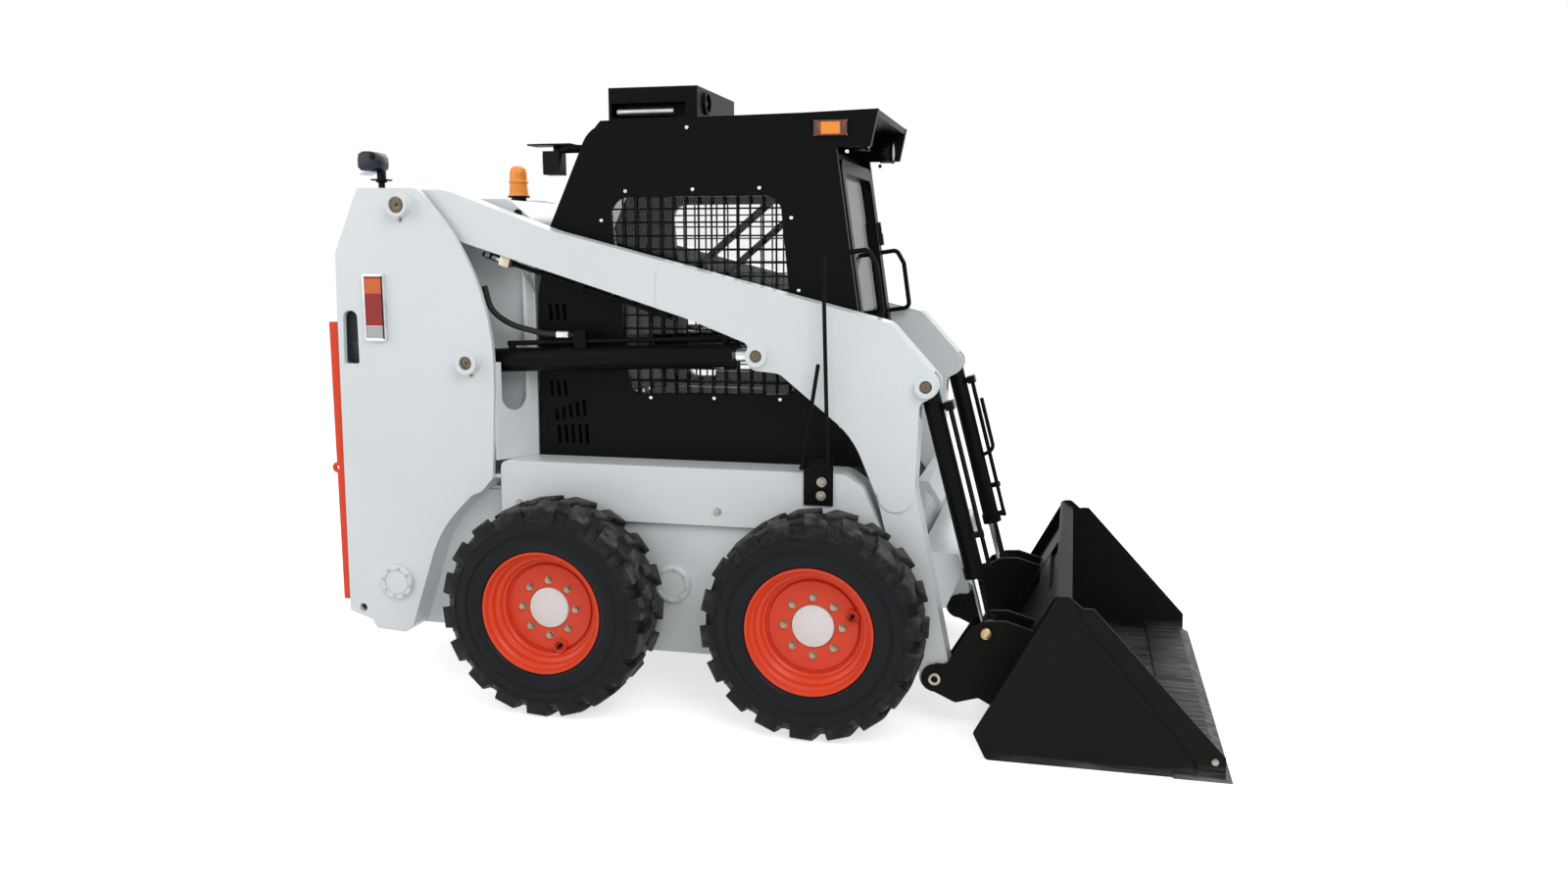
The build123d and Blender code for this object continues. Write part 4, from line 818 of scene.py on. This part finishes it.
WINDOW_SCREWS = (
    (-0.5005, 1.861), (-0.2455, 1.865), (0.0015, 1.867), (-0.5955, 1.757), (0.1175, 1.762), (0.1445, 1.507),
    (-0.5575, 1.483), (-0.4155, 1.110), (-0.1715, 1.114), (0.0765, 1.116), (0.3005, 1.026), (0.3145, 1.987),
    (-0.2645, 2.081),
)
SIDE_BOX_BOLTS = ((-0.8835, 0.722), (-0.1175, 0.726), (0.3400, 0.722))
BRACKET_BOLTS = ((0.2635, 0.850), (0.2615, 0.801))
NIPPLES = ((ARM_PIN[0] - 0.012, ARM_PIN[2] - 0.052), (LIFT_BASE[0] - 0.002, LIFT_BASE[2] - 0.048))
BUCKET_BOLTS = ((1.5765, 0.066),)
BRACKET_FACE = FENDER_FACE + 0.0083
FASTENERS = (
    # name, part, (x, z) places, slot, body, whether it is on both sides
    ("window_screws", screw(CAB_FACE), WINDOW_SCREWS, "rod_chrome", "machine", True),
    ("side_box_bolts", stud(FENDER_FACE, 0.011, 0.009), SIDE_BOX_BOLTS, "pin_steel", "machine", True),
    ("bracket_bolts", stud(BRACKET_FACE, 0.0135, 0.011), BRACKET_BOLTS, "pin_steel", "machine", False),
    ("grease_nipples", stud(TOWER_FACE, 0.0068, 0.008), NIPPLES, "pin_steel", "machine", True),
    ("bucket_side_bolts", stud(BUCKET_FACE, 0.0085, 0.006), BUCKET_BOLTS, "pin_steel", "bucket_tool", True),
)
for name, part, places, slot, body, both in FASTENERS:
    copies = field(part, [(x, 0, z) for x, z in places], FINISHES[slot])
    piece(name, sides(again(copies), both), FINISHES[slot], body)

# %% [markdown]
# A pin's end is a forged face, browned with grease, with a centre mark and a lead-in at its rim. In the arm's
# bosses it stands a little below the boss, and on the coupler it has a brass coloured plated head.

# %% Pin ends
brass = metal("brass_plate", (0.62, 0.47, 0.24), 0.30, 0.16)
greasy = metal("greasy_steel", (0.150, 0.125, 0.090), 0.40, 0.2)


def pin_end(radius, face):
    """The visible end of a pin, facing +Y."""
    rows = [(0, face - 0.0016), (radius * 0.14, face - 0.0016), (radius * 0.22, face), (radius * 0.84, face)]
    rows += [(radius, face - 0.0026), (radius, face - 0.014), (0, face - 0.014)]
    return turned(rows, 40, closed=False)


BOSS_FLOOR, TOWER_BOSS_FACE = 0.533, 0.5866
LIFT_PIN = (0.0285, 0, 1.284)
PIN_ENDS = (
    # name, pin, radius, face, body
    ("lift_pin_ends", LIFT_PIN, 0.0195, BOSS_FLOOR + 0.0065, "lift_arms"),
    ("tilt_pin_ends", TILT_TOP, 0.0195, BOSS_FLOOR + 0.0065, "lift_arms"),
    ("arm_pin_ends", ARM_PIN, 0.0293, TOWER_BOSS_FACE, "machine"),
    ("base_pin_ends", LIFT_BASE, 0.0243, TOWER_BOSS_FACE, "machine"),
)
for name, pin, radius, face, body in PIN_ENDS:
    piece(name, sides(placed(pin_end(radius, face), (pin[0], 0, pin[2]))), greasy, body)

HEAD = [(0, 0), (0.0215, 0), (0.0215, 0.004), (0.018, 0.009), (0.008, 0.0125), (0, 0.013)]
head = placed(turned(HEAD, 32, closed=False), (0.8435, 0.5365, 0.346))
piece("rod_pin_heads", sides(head), brass, "bucket_tool")
WASHER = [(0.0105, 0), (0.022, 0), (0.022, 0.003), (0.0195, 0.0042), (0.0125, 0.0042), (0.0105, 0.001)]
washer = placed(turned(WASHER, 32), (COUPLER[0], 0.5352, COUPLER[2]))
piece("pivot_washers", sides(washer), pin_steel, "bucket_tool")

# %% [markdown]
# ## Lamps
# A lamp is a lens in a frame. The tail lamp's frame is bright plated plastic, and a black strip beside the lens is
# painted shade where the side of the lamp housing lies in shadow.
# The corner lamp is amber in a darker amber moulding. Each work lamp has a black bezel round a fluted glass.

# %% Frames and lenses
plated = metal("plated_plastic", (0.82, 0.82, 0.84), 0.16, 0.05)
smoked = lens("smoked_amber", ((0, (0.135, 0.034, 0.016)),), 0.0)
lamp_glass = lens("lamp_glass", ((0, (0.70, 0.71, 0.72)),), 0.05)


def frame_round(low, high, wall, depth, corner, face):
    """A moulded frame round a lamp, standing on a plane at the stated y."""
    inner = rounded((low[0] + wall, low[1] + wall), (high[0] - wall, high[1] - wall), max(corner - wall, 0.002))
    return sheet_metal(rounded(low, high, corner), face, face + depth, inner, 0.0012)


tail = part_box("tail_lamps")
low, high = (tail[0][0] - 0.0045, tail[0][2] - 0.0045), (tail[1][0] + 0.0095, tail[1][2] + 0.0045)
frames = frame_round(low, high, 0.0085, 0.020, 0.010, TOWER_FACE)
piece("tail_lamp_frames", sides(frames), plated, "machine")
# Painted shade: a black strip beside the lens stands for the side of the lamp housing in shadow
shade_strip = rounded((high[0] - 0.0095, low[1] + 0.006), (high[0] - 0.0045, high[1] - 0.006), 0.002)
shade_strip = sheet_metal(shade_strip, TOWER_FACE + 0.010, TOWER_FACE + 0.0215)
piece("tail_lamp_backs", sides(shade_strip), lamp_black, "machine")
rail = rounded((low[0] + 0.008, CLEAR_TOP_Z - 0.0009), (high[0] - 0.010, CLEAR_TOP_Z + 0.0009), 0.001)
rail = sheet_metal(rail, TOWER_FACE + 0.014, TOWER_FACE + 0.0172)
piece("tail_lamp_bars", sides(rail), plated, "machine")

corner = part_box("marker_lamps")
low, high = (corner[0][0], corner[0][2]), (corner[1][0], corner[1][2])
frames = frame_round(low, high, 0.005, 0.0165, 0.005, CAB_FACE)
piece("corner_lamp_frames", sides(frames), smoked, "machine")
END_WIDTH = 0.025
for end, x in enumerate((low[0], high[0] - END_WIDTH)):
    tab = rounded((x, low[1]), (x + END_WIDTH, high[1]), 0.004)
    tab = sheet_metal(tab, CAB_FACE, CAB_FACE + 0.0155, soft=0.0015)
    piece(f"corner_lamp_end_{end}", sides(tab), smoked, "machine")

BEZEL = [(0.0425, 0), (0.0445, 0.004), (0.0440, 0.011), (0.0400, 0.012), (0.0385, 0.008), (0.0385, 0)]
GLASS = [(0, 0.001), (0.0385, 0.001), (0.0385, 0.007), (0.030, 0.0105), (0.016, 0.0125), (0, 0.013)]
FRONT_LAMPS = (
    # name, section, whether it closes on itself, material, slot
    ("bezels", BEZEL, True, lamp_black, "lamp_black"), ("glasses", GLASS, False, lamp_glass, "clear_glass"),
)
for name, rows, closed, material, slot in FRONT_LAMPS:
    bm = placed(turned(rows, 48, closed), (0.3695, 0.300, 2.035), -90, "Z")
    piece(f"work_lamp_{name}", sides(bm), material, "machine")

pane = sheet_metal(rounded((0.294, 1.929), (0.356, 2.006), 0.008), 0.8247, 0.8290, soft=0.0015)
pane = placed(pane, turn=90, axis="Z")
piece("corner_work_lamp_glass", sides(pane, both=False), lamp_glass, "machine")

# %% [markdown]
# ## Pole lamp and beacon
# The work lamp on the right upright has a small moulded shell that faces backwards, in a yoke on a short post.
# The four lamp shells are one set of solids, so a copy of their mesh is cut down to three, and the new shell
# joins it. The beacon's dome is moulded with level ribs that throw the light sideways.

# %% Pole lamp, beacon and their glass
navy = paint("navy_plastic", (0.010, 0.018, 0.030), 0.28, edge=0.002, coat=0.0, shine=0.3)


def kept_part(node, keep):
    """A merged copy of a solid's mesh, with only the faces whose middle passes a test."""
    bm = again(nodes[node].data)
    bmesh.ops.remove_doubles(bm, verts=bm.verts, dist=1e-6)
    lost = [f for f in bm.faces if not keep(f.calc_center_median())]
    bmesh.ops.delete(bm, geom=lost, context="FACES")
    return mesh_of(bm)


POLE_X_LIMIT = -1.2
shells = kept_part("work_lamps", lambda middle: middle.x > POLE_X_LIMIT)
piece("lamp_shells", shells, lamp_black, "machine", ["work_lamps"])
POLE = (-1.4345, -0.450)
SHELL = [
    # x, z
    (-0.030, -0.034), (0.020, -0.036), (0.036, -0.026), (0.040, -0.006), (0.038, 0.016), (0.028, 0.030),
    (0.006, 0.036), (-0.022, 0.036), (-0.038, 0.028), (-0.043, 0.008), (-0.043, -0.022),
]
shell = sheet_metal(SHELL, -0.044, 0.044, soft=0.007)
placed(shell, (POLE[0] - 0.029, POLE[1], 1.976))
piece("pole_lamp_shell", mesh_of(shell), navy, "machine", smooth=50)
STEM = [(0, 0), (0.012, 0), (0.012, 0.022), (0.020, 0.024), (0.020, 0.030), (0.012, 0.031), (0.010, 0.046), (0, 0.046)]
post = [mesh_of(placed(turned(STEM, 28, closed=False), (*POLE, 1.8765), 90, "X"))]
PLATES = (
    # low x, high x, low z, high z, corner radius, half width, edge
    (-0.028, 0.028, 1.906, 1.912, 0.002, 0.030, 0.001), (-0.012, 0.014, 1.911, 1.946, 0.004, 0.012, 0.002),
)
for left, right, foot, top, corner, half, edge in PLATES:
    loop = rounded((POLE[0] + left, foot), (POLE[0] + right, top), corner)
    post.append(mesh_of(sheet_metal(loop, POLE[1] - half, POLE[1] + half, soft=edge)))
knob = [(0, 0), (0.012, 0), (0.012, 0.006), (0.008, 0.009), (0, 0.009)]
post.append(mesh_of(placed(turned(knob, 28, closed=False), (POLE[0] - 0.004, POLE[1] - 0.0445, 1.994), 180, "X")))
piece("pole_lamp_post", joined(post), lamp_black, "machine")
pane = sheet_metal(rounded((-0.040, -0.036), (0.006, 0.036), 0.006), 0, 0.007, soft=0.002)
pane = placed(placed(pane, turn=90, axis="X"), turn=-14, axis="Y")
pane = placed(pane, (POLE[0] - 0.030, POLE[1], 1.936))
piece("pole_lamp_glass", mesh_of(pane), lamp_glass, "machine")

low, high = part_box("beacon_lens")
DOME = [(0, 0), (0.0420, 0), (0.0420, 0.006), (0.0395, 0.0075)]
DOME += [(0.0395 - 0.0014 * (k % 2) - 0.0004 * k, 0.0095 + 0.0045 * k) for k in range(10)]
DOME += [(0.0405, 0.0530), (0.0405, 0.0580), (0.0365, 0.0600)]
DOME += [(0.0362 - 0.0012 * (k % 2) - 0.0002 * k, 0.0620 + 0.0050 * k) for k in range(8)]
DOME += [(0.0325 * cos(turn * pi / 16), 0.1005 + 0.0210 * sin(turn * pi / 16)) for turn in range(8)] + [(0, 0.1215)]
dome = placed(turned(DOME, 64, closed=False), ((low[0] + high[0]) / 2, 0, low[2]), 90, "X")
piece("beacon_dome", mesh_of(dome), amber_lens, "machine", ["beacon_lens"], smooth=28)

# %% [markdown]
# ## Hydraulic fittings
# A hose ends in a crimped steel sleeve. Where hoses meet the steel pipes under each lift arm, hexagon nuts hold
# them, and a block clamps the pipes to the beam. The sleeves are turned sections with pressed rings.

# %% Sleeves, nuts and clamps
SLEEVE = [(0.0136, 0), (0.0168, 0), (0.0172, 0.004)]
for k in range(4):
    start = 0.007 + 0.009 * k
    SLEEVE += [(0.0172, start), (0.0158, start + 0.002), (0.0158, start + 0.005), (0.0172, start + 0.007)]
SLEEVE += [(0.0168, 0.046), (0.0136, 0.046)]
ARM_MID_Y = 0.455
hose_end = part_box("lift_hose_left")
sleeve = placed(turned(SLEEVE, 40), (hose_end[1][0] - 0.068, ARM_MID_Y, hose_end[0][2] + 0.013), -90, "Z")
piece("hose_sleeves", sides(sleeve), rod_chrome, "lift_barrels")

PIPE_START, PIPE_SLOPE = (-1.0875, 1.656), 0.31155
PIPE_TURN = degrees(atan2(PIPE_SLOPE, 1))


def pipe_z(x):
    """Height of the pipes under the arm at the stated x."""
    return PIPE_START[1] - (x - PIPE_START[0]) * PIPE_SLOPE


def on_pipe(bm, x, y):
    """A bmesh turned about Y, laid along a pipe under the arm at the stated x and y."""
    bm = placed(placed(bm, turn=-90, axis="Z"), turn=PIPE_TURN, axis="Y")
    return mesh_of(placed(bm, (x, y, pipe_z(x))))


NUT = [(0.0094, 0), (0.0128, 0), (0.0135, 0.002), (0.0135, 0.016), (0.0128, 0.018), (0.0094, 0.018)]
COLLAR = [(0.0094, 0), (0.0118, 0), (0.0118, 0.05), (0.0094, 0.05)]
fittings = []
for y in (ARM_MID_Y - 0.011, ARM_MID_Y + 0.011):
    fittings += [on_pipe(turned(NUT, 6), x, y) for x in (-1.012, -0.984)]
    fittings.append(on_pipe(turned(COLLAR, 28), -0.966, y))
piece("pipe_nuts", sides(again(joined(fittings))), rod_chrome, "lift_arms")
CLAMP_X = -0.930
clamp = sheet_metal(rounded((-0.020, -0.017), (0.020, 0.020), 0.005), -0.036, 0.036, soft=0.002)
clamp = placed(clamp, (CLAMP_X, ARM_MID_Y, pipe_z(CLAMP_X)), PIPE_TURN, "Y")
zinc = metal("yellow_zinc", (0.66, 0.60, 0.46), 0.34, 0.14)
piece("pipe_clamps", sides(clamp), zinc, "lift_arms")

# %% [markdown]
# ## Pockets and knobs
# A dark moulded tray lines the pocket in each upright, so the hollow upright doesn't show. Each side of the hood
# has a turned black knob that holds its panel.

# %% Trays in the pockets, knobs on the hood
tray_grey = paint("tray_grey", (0.034, 0.037, 0.042), 0.5, edge=0.001, coat=0.0, shine=0.3)
POCKET = ((-1.5745, 1.228), (-1.4845, 1.427))
TRAY_WALL = 0.008
outer = [tuple(value + way * TRAY_WALL for value in end) for way, end in zip((-1, 1), POCKET)]
wall = sheet_metal(rounded(*outer, 0.045), 0.5085, 0.5275, rounded(*POCKET, 0.040))
back = sheet_metal(rounded(*outer, 0.045), 0.5045, 0.5084)
catch = sheet_metal(rounded((-1.548, 1.262), (-1.512, 1.312), 0.006), 0.5085, 0.5160, soft=0.002)
tray = joined([mesh_of(part) for part in (wall, back, catch)])
piece("pocket_trays", sides(again(tray)), tray_grey, "machine")
knob = [(0, 0), (0.010, 0), (0.010, 0.006), (0.0145, 0.008), (0.0155, 0.016), (0.0125, 0.0205), (0, 0.0215)]
knob = placed(turned(knob, 32, closed=False), (-0.9285, 0.3515, 1.786))
piece("hood_knobs", sides(knob), lamp_black, "machine")

# %% [markdown]
# ## Seat
# The seat has a cushion and a back of foam under vinyl. Each starts as a block a little smaller than its solid,
# is remeshed into small even faces and blown up by a cloth simulation with pressure inside and no gravity. How
# far a point may move is capped. The sewn channels are pressed in afterwards, and one subdivision smooths all.


# %% Cushions blown up as cloth
def blown(mesh, cap, grain=0.008):
    """The mesh remeshed to even faces and puffed up by cloth pressure, each point moving no further than cap."""
    block = bpy.data.objects.new("block", mesh)
    bpy.context.collection.objects.link(block)
    remesh = block.modifiers.new("remesh", "REMESH")
    remesh.mode, remesh.voxel_size = "VOXEL", grain
    graph = bpy.context.evaluated_depsgraph_get()
    even = bpy.data.meshes.new_from_object(block.evaluated_get(graph))
    bpy.data.objects.remove(block)
    cover = bpy.data.objects.new("cover", even.copy())
    bpy.context.collection.objects.link(cover)
    cloth = cover.modifiers.new("cloth", "CLOTH")
    cloth.settings.use_pressure = True
    cloth.settings.uniform_pressure_force = 4
    cloth.settings.effector_weights.gravity = 0
    for step in range(1, 21):
        bpy.context.scene.frame_set(step)
    graph = bpy.context.evaluated_depsgraph_get()
    full = bpy.data.meshes.new_from_object(cover.evaluated_get(graph))
    bpy.data.objects.remove(cover)
    bpy.context.scene.frame_set(1)
    for start, end in zip(even.vertices, full.vertices):
        move = end.co - start.co
        if move.length > cap:
            end.co = start.co + move.normalized() * cap
    return full


SEAM_WIDTH = 0.0075


def sewn(mesh, channels, depth, face):
    """Press channels of the stated depth into one face: along (axis, place) lines, where normals look out."""
    for spot in mesh.vertices:
        looks = max(0.0, spot.normal.dot(Vector(face)))
        press = sum(exp(-(((spot.co[axis] - place) / SEAM_WIDTH) ** 2)) for axis, place in channels)
        spot.co -= spot.normal * (depth * min(press, 1.0) * looks)
    return mesh


def cushion(name, size, channels, face, place, lean):
    """A padded piece from a rounded block of the stated half sizes, made level and then leant back."""
    block = sheet_metal(rounded((-size[0], -size[2]), (size[0], size[2]), size[3]), -size[1], size[1], soft=0.024)
    mesh = sewn(blown(mesh_of(block), 0.008), channels, 0.007, face)
    mesh.transform(Matrix.Translation(place) @ Matrix.Rotation(radians(lean), 4, "Y"))
    made = piece(name, mesh, seat_vinyl, "machine", ["seat"], smooth=180)
    smooth = made.modifiers.new("smooth", "SUBSURF")
    smooth.levels = smooth.render_levels = 1


SEAT_LINES = [(0, -0.09), (0, 0.03), (0, 0.15), (1, -0.145), (1, 0.145)]
BACK_LINES = [(2, -0.16), (2, -0.04), (2, 0.08), (1, -0.14), (1, 0.14)]
cushion("seat_cushion", (0.240, 0.220, 0.046, 0.034), SEAT_LINES, (0, 0, 1), (-0.3825, 0, 1.0365), 0)
cushion("seat_back", (0.040, 0.204, 0.272, 0.032), BACK_LINES, (1, 0, 0), (-0.650, 0, 1.353), -10.7)
